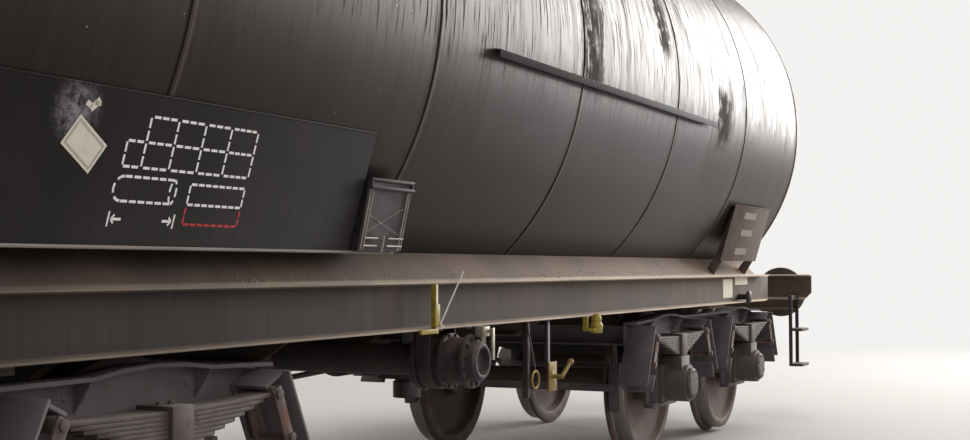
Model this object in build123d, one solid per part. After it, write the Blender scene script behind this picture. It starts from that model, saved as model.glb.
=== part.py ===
from build123d import *
import os
from math import atan2, cos, degrees, hypot, pi, radians, sin, sqrt, tan

# Railway tank car on two four-wheeled bogies. Millimetres, +Z up, +X along the wagon.
# The origin lies under the wagon's centre, at the tips of the wheel flanges.

# Wheels and axles
TREAD_RADIUS = 500.0
FLANGE_HEIGHT = 30.0
AXLE_Z = TREAD_RADIUS + FLANGE_HEIGHT
BACK_TO_BACK = 1360.0
RIM_WIDTH = 135.0
HUB_RADIUS = 140.0
HUB_OVERHANG = 22.0
RIM_DEPTH = 62.0
WEB_THICKNESS = 26.0
SEAT_RADIUS = 92.0
AXLE_RADIUS = 80.0
JOURNAL_RADIUS = 65.0
JOURNAL_Y = 1000.0
RUNNING_CLEARANCE = 0.05
SEATING_GAP = 0.3

# Bogies
PIVOT_X = 3580.0
WHEELBASE = 1800.0
FRAME_WEB_Y = 872.0
FRAME_PLATE = 14.0
FRAME_FLANGE = 96.0
FRAME_TOP_Z = 975.0
FRAME_ARCH = 25.0
FRAME_BOTTOM_Z = 740.0
FRAME_END_X = 1560.0
FRAME_END_TOP_Z = 962.0
FRAME_END_BOTTOM_Z = 800.0
GUSSET_SPREAD = 300.0
GUSSET_PLATE = 8.0
HORN_BOTTOM_Z = 398.0
HORN_WIDTH = 95.0
KEEPER_THICKNESS = 26.0
BOX_HALF_WIDTH = 150.0
BOX_RADIUS = 125.0
BOX_BACK_Y = 850.0
COLLAR_GAP = 6.0
BOX_FRONT_Y = 1110.0
BOX_COVER_RADIUS = 104.0
BOX_COVER_Y = 1142.0

# Leaf springs over the axle boxes
LEAF_COUNT = 8
LEAF_THICKNESS = 15.0
LEAF_WIDTH = 120.0
SPRING_HALF_LENGTH = 545.0
LEAF_STEP = 57.0
SPRING_TOP_Z = 850.0
SPRING_CAMBER = 14.0
EYE_RADIUS = 28.0
BUCKLE_LENGTH = 110.0
BUCKLE_WALL = 16.0
LEG_ANGLE = 26.0
LEG_LENGTH = 410.0
LEG_WIDTH = 124.0
LEG_PLATE = 14.0
LEG_TOP_Z = 914.0
LEG_TOP_X = SPRING_HALF_LENGTH + 10.0
LEG_NOTCH = 292.0
LINK_LENGTH = 180.0
LINK_WIDTH = 52.0
LINK_PLATE = 12.0

# Bogie bolster and centre pivot
BOLSTER_HALF_WIDTH = 200.0
BOLSTER_TOP_Z = 840.0
BOLSTER_BOTTOM_Z = 655.0
BOLSTER_WALL = 14.0
PIVOT_RADIUS = 120.0
PIVOT_FLANGE_RADIUS = 195.0
PIVOT_SEAT_Z = 862.0
BEARER_Y = 700.0
BEARER_GAP = 6.0

# Brake blocks and beams on the bogies
BLOCK_CLEARANCE = 6.0
BLOCK_THICKNESS = 55.0
BLOCK_WIDTH = 76.0
BLOCK_Y = 768.0
BEAM_RADIUS = 26.0
BLOCK_ARC = 34.0

# Tank
TANK_RADIUS = 1425.0
TANK_Z = 2415.0
COURSE_LENGTH = 1520.0
COURSE_COUNT = 6
BARREL_HALF = COURSE_LENGTH * COURSE_COUNT / 2
TANK_CROWN_Z = TANK_Z + TANK_RADIUS
CROWN_RADIUS = 2 * TANK_RADIUS
KNUCKLE_RADIUS = 0.2 * TANK_RADIUS

# Underframe
LENGTH_OVER_BUFFERS = 12520.0
BUFFER_LENGTH = 620.0
HEADSTOCK_X = LENGTH_OVER_BUFFERS / 2 - BUFFER_LENGTH
HEADSTOCK_PLATE = 15.0
HEADSTOCK_HALF_WIDTH = 1290.0
HEADSTOCK_BOTTOM_Z = 945.0
SOLE_TOP_Z = 1253.0
SOLE_HEIGHT = 210.0
SOLE_FLANGE = 76.0
SOLE_WEB = 9.0
SOLE_FLANGE_TIP = 9.0
SOLE_FLANGE_ROOT = 14.0
SOLE_EDGE_Y = 1115.0
SOLE_WEB_Y = SOLE_EDGE_Y - SOLE_FLANGE
SOLE_BOTTOM_Z = SOLE_TOP_Z - SOLE_HEIGHT
HEADSTOCK_BACK_X = HEADSTOCK_X - HEADSTOCK_PLATE
HEADSTOCK_LIP = 70.0
SOLE_FLANGE_HALF = BARREL_HALF + 180.0
SOLE_FLANGE_CUT = 60.0
SADDLE_PLATE = 10.0
SADDLE_HALF = BARREL_HALF - 130.0
SADDLE_TOP_Y = 980.0
BODY_BOLSTER_Z = 880.0
BODY_BOLSTER_HALF_WIDTH = 200.0
BODY_BOLSTER_WALL = 12.0
STAY_X = (550.0, 1350.0)
STAY_PLATE = 12.0
STAY_DEPTH = 90.0
SILL_Y = 160.0
SILL_PLATE = 12.0
SILL_LIP = 70.0
SILL_TOP_Z = SOLE_TOP_Z - 28.0
SILL_LOW_Z = HEADSTOCK_BOTTOM_Z + HEADSTOCK_PLATE
SILL_STEP_X = BARREL_HALF + 325.0
SILL_STEP_RUN = 160.0
CROSS_X = BARREL_HALF + 500.0
CROSS_OUT_X = CROSS_X + SILL_PLATE

# Buffers and draw gear
BUFFER_Y = 875.0
BUFFER_Z = 1090.0
BUFFER_SLEEVE_RADIUS = 130.0
BUFFER_PLUNGER_RADIUS = 105.0
BUFFER_HEAD_RADIUS = 225.0
HOOK_THICKNESS = 62.0
COUPLING_BAR = 17.0

# Fittings on the tank's flanks
DRIP_X = (-1037.0, 2214.0)
DRIP_Z = TANK_Z - 0.12 * TANK_RADIUS
DRIP_LIP = 34.0
DRIP_PLATE = 7.0
BOARD_X = (-4250.0, -1826.0)
BOARD_TOP_Z = SOLE_TOP_Z + 567.0
BOARD_BOTTOM = (SOLE_EDGE_Y + 59.0, SOLE_TOP_Z + 126.0)
BOARD_PLATE = 5.0
CLIP_X = (-1811.0, -1493.0)
CLIP_TOP_Z = SOLE_TOP_Z + 392.0
CLIP_BOTTOM = (SOLE_EDGE_Y + 91.0, SOLE_TOP_Z + 124.0)
END_BOARD_X = (3214.0, 4184.0)
END_BOARD_TOP = (SOLE_EDGE_Y + 181.0, SOLE_TOP_Z + 508.0)
END_BOARD_BOTTOM = (SOLE_EDGE_Y + 60.0, SOLE_TOP_Z + 109.0)

# Bottom outlet across the wagon
OUTLET_X = -760.0
OUTLET_Z = TANK_Z - TANK_RADIUS - 98.0
OUTLET_PIPE_RADIUS = 71.0
OUTLET_DRUM_RADIUS = 116.0
OUTLET_FLANGE_RADIUS = 135.0
OUTLET_CAP_RADIUS = 91.0
OUTLET_DRUM_Y = (918.0, 1227.0)
OUTLET_FLANGE_END = 262.0
SUMP_RADIUS = 150.0

# Top of the tank
MANHOLE_RADIUS = 280.0
MANHOLE_TOP_Z = TANK_CROWN_Z + 130.0
LID_RADIUS = 318.0
LID_THICKNESS = 24.0
LID_HINGE_X = 360.0
LID_PIN_RADIUS = 12.0
WALKWAY_Z = TANK_CROWN_Z + 90.0
WALKWAY_PLATE = 30.0
WALKWAY_HALF_WIDTH = 300.0
WALKWAY_X = (160.0 - BARREL_HALF, 1200.0)

# End platform and ladder at the left-hand end
PLATFORM_X = (-HEADSTOCK_BACK_X, 445.0 - HEADSTOCK_BACK_X)
PLATFORM_PLATE = 28.0
PLATFORM_HALF_WIDTH = 1250.0
LADDER_X = PLATFORM_X[1] - 75.0
LADDER_HALF_WIDTH = 200.0
RUNG_PITCH = 300.0
RAIL_TUBE = 17.0
RAIL_INSET = 30.0
RAIL_HEIGHT = 972.0
RAIL_FOOT = 30.0
RAIL_FOOT_PLATE = 8.0
GANGWAY_HALF_WIDTH = 430.0
STEP_X = (5375.0, HEADSTOCK_BACK_X - 12.0)
STEP_Y = (1150.0, 1264.0)
STEP_TREAD_Z = (470.0, 770.0)
STEP_TOP_Z = 1075.0
ROPE_HOOK_X = BARREL_HALF - 423.0

# Brake gear under the middle of the tank
ROD_END_GAP = 150.0
PULL_ROD_X = PIVOT_X - FRAME_END_X - ROD_END_GAP
PULL_ROD_Z = 700.0

# Levers and plates on the sole bars
LEVER_X = -1037.0
KNOB_X = 846.0
RING_X = 171.0
RING_Z = 737.0
CHANGE_PLATE_X = 309.0


def block(x, y, z):
    """Box between the low and high ends of each range."""
    centre = [(low + high) / 2 for low, high in (x, y, z)]
    return Pos(*centre) * Box(*[high - low for low, high in (x, y, z)])


def outline_xz(points, y):
    """Plate with a closed X-Z outline, between two Y places."""
    face = make_face(Polyline(*[(px, y[0], pz) for px, pz in points], close=True))
    return extrude(face, amount=y[1] - y[0], dir=(0, 1, 0))


def outline_yz(points, x):
    """Plate with a closed Y-Z outline, between two X places."""
    face = make_face(Polyline(*[(x[0], py, pz) for py, pz in points], close=True))
    return extrude(face, amount=x[1] - x[0], dir=(1, 0, 0))


def outline_xy(points, z):
    """Plate with a closed X-Y outline, between two heights."""
    face = make_face(Polyline(*[(px, py, z[0]) for px, py in points], close=True))
    return extrude(face, amount=z[1] - z[0], dir=(0, 0, 1))


def turned(points, origin=(0, 0, 0), axis="x"):
    """Solid of revolution. Points are (distance along the axis, radius)."""
    body = revolve(make_face(Polyline(*points, close=True)), axis=Axis.X)
    turn = {"x": Rot(0, 0, 0), "y": Rot(0, 0, 90), "-y": Rot(0, 0, -90), "z": Rot(0, -90, 0)}[axis]
    return Pos(*origin) * turn * body


def rod(start, end, radius):
    """Round bar between two points."""
    path = Vector(*end) - Vector(*start)
    return Solid.make_cylinder(radius, path.length, Plane(origin=start, z_dir=path))


def strip(points, thickness, y):
    """Flange that follows an X-Z edge and lies under it."""
    lower = [(px, pz - thickness) for px, pz in reversed(points)]
    return outline_xz(list(points) + lower, y)


def both_sides(shapes):
    """The shapes and their mirror images across the wagon's long middle plane."""
    return list(shapes) + [mirror(s, about=Plane.XZ) for s in shapes]


def both_ends(shapes):
    """The shapes and their mirror images at the other end."""
    return list(shapes) + [mirror(s, about=Plane.YZ) for s in shapes]


def turned_about(shapes):
    """The shapes and the same shapes half a turn round the wagon's middle."""
    return list(shapes) + [Rot(0, 0, 180) * s for s in shapes]


def joined(shapes):
    """One solid from shapes that touch or overlap."""
    first, *rest = shapes
    for shape in rest:
        first = first + shape
    return first


def tank_y(z):
    """Half width of the tank's barrel at a height."""
    return sqrt(TANK_RADIUS ** 2 - (TANK_Z - z) ** 2)


def tank_underside(y, gap=SEATING_GAP):
    """Height of the barrel's lower surface at a distance from the middle."""
    return TANK_Z - sqrt((TANK_RADIUS + gap) ** 2 - y ** 2)


def clear_of_tank(shape, gap=SEATING_GAP):
    """The shape with the room that the tank's barrel takes cut away."""
    barrel = Pos(0, 0, TANK_Z) * Rot(0, 90, 0) * Cylinder(TANK_RADIUS + gap, 2 * BARREL_HALF)
    return shape - barrel


def saddle_z(y):
    """Height of the sloped saddle plate's upper face at a distance from the middle."""
    rise = tank_underside(SADDLE_TOP_Y, 0) - SOLE_TOP_Z
    return SOLE_TOP_Z + (SOLE_EDGE_Y - y) * rise / (SOLE_EDGE_Y - SADDLE_TOP_Y)


def tank():
    """Barrel and two torispherical ends as one closed vessel."""
    crown_x = BARREL_HALF - sqrt((CROWN_RADIUS - KNUCKLE_RADIUS) ** 2 - (TANK_RADIUS - KNUCKLE_RADIUS) ** 2)
    slope = atan2(TANK_RADIUS - KNUCKLE_RADIUS, BARREL_HALF - crown_x)
    tip = (crown_x + CROWN_RADIUS, 0)
    mid_crown = (crown_x + CROWN_RADIUS * cos(slope / 2), CROWN_RADIUS * sin(slope / 2))
    meet = (crown_x + CROWN_RADIUS * cos(slope), CROWN_RADIUS * sin(slope))
    knuckle_mid = (slope + pi / 2) / 2
    mid_knuckle = (BARREL_HALF + KNUCKLE_RADIUS * cos(knuckle_mid),
                   TANK_RADIUS - KNUCKLE_RADIUS * (1 - sin(knuckle_mid)))
    barrel_edge = (BARREL_HALF, TANK_RADIUS)
    half = Wire([
        Edge.make_line((0, 0), (0, TANK_RADIUS)),
        Edge.make_line((0, TANK_RADIUS), barrel_edge),
        ThreePointArc(barrel_edge, mid_knuckle, meet).edge(),
        ThreePointArc(meet, mid_crown, tip).edge(),
        Edge.make_line(tip, (0, 0)),
    ])
    vessel_half = revolve(make_face(half), axis=Axis.X)
    return [Pos(0, 0, TANK_Z) * (vessel_half + mirror(vessel_half, about=Plane.YZ))]


def saddle_plates():
    """Sloped plates from the sole bars' outer edges up to the tank's flanks."""
    top_z = tank_underside(SADDLE_TOP_Y, 0)
    run, rise = SOLE_EDGE_Y - SADDLE_TOP_Y, top_z - SOLE_TOP_Z
    shift = SADDLE_PLATE / hypot(run, rise)
    back = (-rise * shift, -run * shift)
    outer = (-SOLE_EDGE_Y, SOLE_TOP_Z)
    inner = (-SADDLE_TOP_Y, top_z)
    points = [outer, inner, (inner[0] - back[0], inner[1] + back[1]), (outer[0] - back[0] * 1.9, SOLE_TOP_Z)]
    return both_sides([outline_yz(points, (-SADDLE_HALF, SADDLE_HALF))])


def sole_bar():
    """Rolled channel with tapered flanges outwards; only its web runs on past the tank's end."""
    half = CROSS_OUT_X
    web_face = SOLE_WEB_Y + SOLE_WEB
    root, tip = SOLE_FLANGE_ROOT, SOLE_FLANGE_TIP
    points = [(-SOLE_WEB_Y, SOLE_BOTTOM_Z), (-SOLE_EDGE_Y, SOLE_BOTTOM_Z), (-SOLE_EDGE_Y, SOLE_BOTTOM_Z + tip),
              (-web_face, SOLE_BOTTOM_Z + root), (-web_face, SOLE_TOP_Z - root), (-SOLE_EDGE_Y, SOLE_TOP_Z - tip),
              (-SOLE_EDGE_Y, SOLE_TOP_Z), (-SOLE_WEB_Y, SOLE_TOP_Z)]
    bar = outline_yz(points, (-half, half))
    out = -SOLE_EDGE_Y - 1
    z = (SOLE_BOTTOM_Z - 1, SOLE_TOP_Z + 1)
    for side in (-1, 1):
        cut = [(side * SOLE_FLANGE_HALF, out), (side * (half + 1), out), (side * (half + 1), -web_face),
               (side * (SOLE_FLANGE_HALF + SOLE_FLANGE_CUT), -web_face)]
        bar = bar - outline_xy(cut, z)
    return bar


def sole_bars():
    return both_sides([sole_bar()])


def headstocks():
    """Flanged end plates with cut corners and an opening for the draw hook."""
    low, wide = HEADSTOCK_BOTTOM_Z, HEADSTOCK_HALF_WIDTH
    cut = 150
    points = [(-wide, SOLE_TOP_Z), (-wide, low + cut), (-wide + cut, low), (wide - cut, low),
              (wide, low + cut), (wide, SOLE_TOP_Z)]
    plate = outline_yz(points, (HEADSTOCK_BACK_X, HEADSTOCK_X))
    lip_x = (HEADSTOCK_BACK_X - HEADSTOCK_LIP, HEADSTOCK_BACK_X)
    top = block(lip_x, (-wide, wide), (SOLE_TOP_Z - HEADSTOCK_PLATE, SOLE_TOP_Z))
    bottom = block(lip_x, (-wide + cut, wide - cut), (low, low + HEADSTOCK_PLATE))
    slot = block((HEADSTOCK_BACK_X - 1, HEADSTOCK_X + 1), (-HOOK_THICKNESS / 2 - 12, HOOK_THICKNESS / 2 + 12),
                 (BUFFER_Z - 95, BUFFER_Z + 95))
    return both_ends([joined([plate, top, bottom]) - slot])


def end_sills():
    """Stepped draw sills from the body bolster to the headstock, and short sills behind the buffers."""
    start = PIVOT_X + BODY_BOLSTER_HALF_WIDTH
    low_top = tank_underside(SILL_Y + SILL_PLATE) - 8
    step_x, step_run = SILL_STEP_X, SILL_STEP_RUN
    points = [(start, BODY_BOLSTER_Z), (start, low_top), (step_x, low_top), (step_x + step_run, SILL_TOP_Z),
              (HEADSTOCK_BACK_X, SILL_TOP_Z), (HEADSTOCK_BACK_X, SILL_LOW_Z), (step_x + 60, SILL_LOW_Z),
              (step_x - step_run, BODY_BOLSTER_Z)]
    web = outline_xz(points, (-SILL_Y - SILL_PLATE, -SILL_Y))
    lip_y = (-SILL_Y - SILL_LIP, -SILL_Y)
    foot = block((start, step_x - step_run), lip_y, (BODY_BOLSTER_Z, BODY_BOLSTER_Z + SILL_PLATE))
    lip = block((step_x + 60, HEADSTOCK_BACK_X), lip_y, (SILL_LOW_Z, SILL_LOW_Z + SILL_PLATE))
    lip_start_x = HEADSTOCK_BACK_X - HEADSTOCK_LIP
    under_lip_z = SOLE_TOP_Z - HEADSTOCK_PLATE
    outline = [(CROSS_OUT_X, SOLE_BOTTOM_Z), (HEADSTOCK_BACK_X, SOLE_BOTTOM_Z), (HEADSTOCK_BACK_X, under_lip_z),
               (lip_start_x, under_lip_z), (lip_start_x, SOLE_TOP_Z), (CROSS_OUT_X, SOLE_TOP_Z)]
    half = SILL_PLATE / 2
    buffer_web = outline_xz(outline, (-BUFFER_Y - half, -BUFFER_Y + half))
    y = (-BUFFER_Y - SILL_LIP, -BUFFER_Y + half)
    shelf = block((CROSS_OUT_X, lip_start_x), y, (SOLE_TOP_Z - SILL_PLATE, SOLE_TOP_Z))
    return both_ends(both_sides([joined([web, foot, lip]), buffer_web + shelf]))


def end_cross_members():
    """Angle sections that tie the draw sills to the sole bars between bogie and headstock."""
    x = (CROSS_X, CROSS_OUT_X)
    low, high = SOLE_BOTTOM_Z + 10, SOLE_TOP_Z - SILL_LIP
    pieces = []
    for y in ((-SOLE_WEB_Y, -SILL_Y - SILL_PLATE), (-SILL_Y, SILL_Y), (SILL_Y + SILL_PLATE, SOLE_WEB_Y)):
        shelf = block((CROSS_OUT_X - SILL_LIP, CROSS_OUT_X), y, (low, low + SILL_PLATE))
        pieces.append(block(x, y, (low, high)) + shelf)
    return both_ends(pieces)


def cradle_face(low_z, rise_y, rise_z, inset=0.0):
    """Face of a cradle: an arc on top, straight edges below."""
    edge = SOLE_WEB_Y - inset
    radius = TANK_RADIUS + SEATING_GAP + inset
    top_y = sqrt(TANK_RADIUS ** 2 - (TANK_Z - SOLE_TOP_Z) ** 2) - 12
    shelf_z = TANK_Z - sqrt(radius ** 2 - top_y ** 2)
    corners = [(top_y, shelf_z), (edge, shelf_z), (edge, rise_z + inset), (rise_y[1] - inset / 3, rise_z + inset),
               (rise_y[0] - inset / 3, low_z + inset)]
    corners += [(-y, z) for y, z in reversed(corners)]
    line = Polyline(*[(0, y, z) for y, z in corners])
    arc = ThreePointArc((0, -top_y, shelf_z), (0, 0, TANK_Z - radius), (0, top_y, shelf_z))
    return make_face(line.edges() + [arc.edge()])


def body_bolster():
    """Hollow welded cradle that carries the tank over a bogie."""
    rise_y, rise_z = (775.0, 842.0), 1012.0
    half, wall = BODY_BOLSTER_HALF_WIDTH, BODY_BOLSTER_WALL
    outer = extrude(Pos(-half, 0, 0) * cradle_face(BODY_BOLSTER_Z, rise_y, rise_z), amount=2 * half, dir=(1, 0, 0))
    inner = extrude(Pos(-half + wall, 0, 0) * cradle_face(BODY_BOLSTER_Z, rise_y, rise_z, wall),
                    amount=2 * (half - wall), dir=(1, 0, 0))
    pad_z = PIVOT_SEAT_Z + BEARER_GAP + 4
    pads = [block((-110, 110), (y - 55, y + 55), (pad_z, BODY_BOLSTER_Z)) for y in (-BEARER_Y, BEARER_Y)]
    return Pos(PIVOT_X, 0, 0) * joined([outer - inner] + pads)


def body_bolsters():
    return both_ends([body_bolster()])


def cross_stays():
    """Crescent plates with a bottom flange that tie the sole bars under the tank."""
    stays = []
    for x in STAY_X:
        low_z = tank_underside(0) - STAY_DEPTH
        plate = extrude(Pos(x, 0, 0) * cradle_face(low_z, (430.0, 700.0), SOLE_BOTTOM_Z + 20),
                        amount=STAY_PLATE, dir=(1, 0, 0))
        foot = block((x - 34, x + 34 + STAY_PLATE), (-430, 430), (low_z, low_z + STAY_PLATE))
        stays.append(plate + foot)
    return both_ends(stays)


def centre_pivots():
    """Upper pivot castings: a flange and a spigot that turns in the bogie's bowl."""
    seat = PIVOT_SEAT_Z + SEATING_GAP
    points = [(BOLSTER_TOP_Z + 4, 0), (BOLSTER_TOP_Z + 4, PIVOT_RADIUS - 8), (BOLSTER_TOP_Z + 12, PIVOT_RADIUS),
              (seat, PIVOT_RADIUS), (seat, PIVOT_FLANGE_RADIUS), (BODY_BOLSTER_Z, PIVOT_FLANGE_RADIUS),
              (BODY_BOLSTER_Z, 0)]
    return both_ends([turned(points, (PIVOT_X, 0, 0), "z")])


def buffer_housings():
    """Base plate, ribs and stepped sleeve of each buffer."""
    start = HEADSTOCK_X
    sleeve = turned([(0, 0), (0, 165), (18, 165), (18, BUFFER_SLEEVE_RADIUS + 14), (70, BUFFER_SLEEVE_RADIUS),
                     (330, BUFFER_SLEEVE_RADIUS), (330, BUFFER_SLEEVE_RADIUS + 12), (352, BUFFER_SLEEVE_RADIUS + 12),
                     (352, 0)], (start, -BUFFER_Y, BUFFER_Z))
    base = block((start, start + 18), (-BUFFER_Y - 175, -BUFFER_Y + 175), (BUFFER_Z - 140, BUFFER_Z + 140))
    return both_ends(both_sides([sleeve + base]))


def buffer_heads():
    """Plungers with their slightly domed heads."""
    start = HEADSTOCK_X + 352
    face = HEADSTOCK_X + BUFFER_LENGTH
    rim = 26
    points = [(start, 0), (start, BUFFER_PLUNGER_RADIUS), (face - 70, BUFFER_PLUNGER_RADIUS),
              (face - 40, BUFFER_PLUNGER_RADIUS + 40), (face - rim - 8, BUFFER_HEAD_RADIUS),
              (face - 8, BUFFER_HEAD_RADIUS), (face, 100), (face, 0)]
    return both_ends(both_sides([turned(points, (0, -BUFFER_Y, BUFFER_Z))]))


def draw_gear():
    """Draw hooks and the screw couplings that hang from them."""
    x, z, half = HEADSTOCK_X, BUFFER_Z, HOOK_THICKNESS / 2
    hook = outline_xz([(x - 190, z - 32), (x + 60, z - 40), (x + 110, z - 82), (x + 205, z - 92), (x + 262, z - 42),
                       (x + 268, z + 40), (x + 236, z + 78), (x + 206, z + 62), (x + 214, z + 8), (x + 176, z - 16),
                       (x + 142, z + 12), (x + 128, z + 66), (x + 70, z + 74), (x + 20, z + 40), (x - 190, z + 34)],
                      (-half, half))
    washer = block((x, x + 16), (-110, 110), (z - 120, z + 120)) - block(
        (x - 1, x + 17), (-half - SEATING_GAP, half + SEATING_GAP), (z - 60, z + 60))
    pin_x, pin_z = x + 96, z - 22
    drop = 205
    cheeks = [outline_xz([(pin_x - 26, pin_z + 30), (pin_x + 26, pin_z + 30), (pin_x + 24, pin_z - drop),
                          (pin_x - 24, pin_z - drop)], (y - 9, y + 9)) for y in (-half - 10, half + 10)]
    pins = [rod((pin_x, -half - 30, pin_z), (pin_x, half + 30, pin_z), COUPLING_BAR - RUNNING_CLEARANCE),
            rod((pin_x, -half - 34, pin_z - drop + 26), (pin_x, half + 34, pin_z - drop + 26), 26)]
    nut_z = pin_z - drop - 250
    screw = [rod((pin_x, 0, pin_z - drop + 40), (pin_x, 0, nut_z - 20), 20),
             rod((pin_x, -half - 44, nut_z), (pin_x, half + 44, nut_z), 27)]
    bow = [rod((pin_x, y, nut_z + 10), (pin_x, y * 0.8, nut_z - 190), COUPLING_BAR) for y in (-half - 26, half + 26)]
    bow += [rod((pin_x, -half - 16, nut_z - 196), (pin_x, half + 16, nut_z - 196), COUPLING_BAR + 3)]
    hook = hook - rod((pin_x, -half - 1, pin_z), (pin_x, half + 1, pin_z), COUPLING_BAR)
    coupling = joined(cheeks + pins + screw + bow)
    return both_ends([hook, washer]), both_ends([coupling])


def brake_pipes():
    """Brake pipe ends with their stop cocks, left and right of each draw hook."""
    pieces = []
    for y in (-420.0, 420.0):
        x = HEADSTOCK_X
        z = HEADSTOCK_BOTTOM_Z - 45
        pipe = rod((x - 380, y, z), (x + 60, y, z), 17)
        cock = turned([(0, 0), (0, 30), (26, 30), (36, 42), (70, 42), (80, 30), (110, 30), (110, 0)], (x + 60, y, z))
        handle = block((x + 84, x + 104), (y - 12, y + 70), (z + 38, z + 50))
        strap = block((x - 55, x - 15), (y - 22, y + 22), (z, HEADSTOCK_BOTTOM_Z))
        pieces.append(joined([pipe, cock, handle, strap]))
    return both_ends(pieces)


def drip_rails():
    """Lip on the tank's flank that throws drips clear of the side."""
    y = tank_y(DRIP_Z)
    drop = 34
    inner_top = tank_y(DRIP_Z + 3) - 1
    points = [(-inner_top, DRIP_Z + DRIP_PLATE), (-y - DRIP_LIP, DRIP_Z + 2), (-y - DRIP_LIP, DRIP_Z - drop),
              (-y - DRIP_LIP + DRIP_PLATE, DRIP_Z - drop), (-y - DRIP_LIP + DRIP_PLATE, DRIP_Z - DRIP_PLATE),
              (-tank_y(DRIP_Z - DRIP_PLATE) + 1, DRIP_Z - DRIP_PLATE)]
    return turned_about([clear_of_tank(outline_yz(points, DRIP_X))])


def leaning_plate(top, bottom, x, thickness):
    """Plate between a top and a bottom line, each given as (distance out, height)."""
    return outline_yz([(-top[0], top[1]), (-top[0] + thickness, top[1]), (-bottom[0] + thickness, bottom[1]),
                       (-bottom[0], bottom[1])], x)


def inscription_boards():
    """Long leaning boards with a folded edge, on brackets from the saddle plate."""
    top = (tank_y(BOARD_TOP_Z) + BOARD_PLATE + 2, BOARD_TOP_Z)
    board = leaning_plate(top, BOARD_BOTTOM, BOARD_X, BOARD_PLATE)
    lip = 22
    top_lip = block(BOARD_X, (-top[0] - 2, -top[0] + lip), (BOARD_TOP_Z - 3, BOARD_TOP_Z + 3))
    foot = block(BOARD_X, (-BOARD_BOTTOM[0] - 4, -BOARD_BOTTOM[0] + lip + 60), (BOARD_BOTTOM[1] - 8, BOARD_BOTTOM[1]))
    brackets = []
    for k in range(5):
        x = BOARD_X[0] + 160 + k * (BOARD_X[1] - BOARD_X[0] - 320) / 4
        out_y, in_y = BOARD_BOTTOM[0] - BOARD_PLATE, tank_y(BOARD_BOTTOM[1]) - 2
        brackets.append(outline_yz([(-out_y, BOARD_BOTTOM[1] - 8), (-in_y, BOARD_BOTTOM[1] + 16),
                                    (-tank_y(BOARD_BOTTOM[1] + 120) + 2, BOARD_BOTTOM[1] + 120),
                                    (-out_y - 36, BOARD_BOTTOM[1] + 120)], (x - 5, x + 5)))
    return turned_about([clear_of_tank(joined([board, top_lip, foot] + brackets))])


def document_frames():
    """Wire-fronted frames for papers, beside the long boards."""
    top = (tank_y(CLIP_TOP_Z) + 66, CLIP_TOP_Z)
    plate = leaning_plate(top, CLIP_BOTTOM, CLIP_X, 5)
    inner = leaning_plate((top[0] + 1, top[1] - 34), (CLIP_BOTTOM[0] + 1, CLIP_BOTTOM[1] + 34),
                          (CLIP_X[0] + 28, CLIP_X[1] - 28), 2.5)
    rails = [rod((CLIP_X[0], -top[0] - 6, CLIP_TOP_Z + dz), (CLIP_X[1] + 10, -top[0] - 6, CLIP_TOP_Z + dz), 7)
             for dz in (4.0, -26.0)]
    feet = [block((x, x + 6), (-top[0] - 10, -top[0] + 14), (CLIP_TOP_Z - 34, CLIP_TOP_Z + 6))
            for x in (CLIP_X[0], CLIP_X[1] - 6)]
    for x in (CLIP_X[0] + 20, CLIP_X[1] - 30):
        low_y = CLIP_BOTTOM[0] - 5
        feet.append(outline_yz([(-low_y, CLIP_BOTTOM[1]), (-tank_y(CLIP_BOTTOM[1]) + 2, CLIP_BOTTOM[1] + 16),
                                (-tank_y(CLIP_TOP_Z - 20) + 2, CLIP_TOP_Z - 20),
                                (-top[0] + 8, CLIP_TOP_Z - 20)], (x, x + 10)))
    return turned_about([clear_of_tank(joined([plate - inner] + rails + feet))])


def end_boards():
    """Smaller leaning boards near the end, on stays from the sole bar."""
    board = leaning_plate(END_BOARD_TOP, END_BOARD_BOTTOM, END_BOARD_X, BOARD_PLATE)
    lip = block(END_BOARD_X, (-END_BOARD_TOP[0] - 3, -END_BOARD_TOP[0] + 26),
                (END_BOARD_TOP[1] - 4, END_BOARD_TOP[1] + 2))
    stays = []
    for x in (END_BOARD_X[0] + 60, END_BOARD_X[1] - 72):
        foot_y = (SOLE_EDGE_Y - 8, SOLE_EDGE_Y - 56)
        stays.append(outline_yz([(-foot_y[0], saddle_z(foot_y[0])), (-foot_y[1], saddle_z(foot_y[1])),
                                 (-END_BOARD_BOTTOM[0] + 50, END_BOARD_BOTTOM[1] + 40),
                                 (-END_BOARD_TOP[0] + 45, END_BOARD_TOP[1] - 30),
                                 (-END_BOARD_TOP[0] + 5, END_BOARD_TOP[1] - 12),
                                 (-END_BOARD_BOTTOM[0] + 1, END_BOARD_BOTTOM[1] + 8)], (x, x + 12)))
    return turned_about([joined([board, lip] + stays)])


def outlet_pipes():
    """Sump under the tank's middle and the cross pipe with a flange at each end."""
    top_z = tank_underside(SUMP_RADIUS, 0)
    sump = turned([(OUTLET_Z - 105, 0), (OUTLET_Z - 105, SUMP_RADIUS - 60), (OUTLET_Z - 60, SUMP_RADIUS),
                   (top_z - 14, SUMP_RADIUS), (top_z - 14, 0)], axis="z")
    tank_body = Pos(0, 0, TANK_Z) * Rot(0, 90, 0) * Cylinder(TANK_RADIUS + SEATING_GAP, 800)
    pipe = rod((0, -OUTLET_DRUM_Y[0], OUTLET_Z), (0, OUTLET_DRUM_Y[0], OUTLET_Z), OUTLET_PIPE_RADIUS)
    neck = block((-60, 60), (-60, 60), (top_z - 20, tank_underside(60))) - tank_body
    return [Pos(OUTLET_X, 0, 0) * joined([sump, pipe, neck])]


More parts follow.
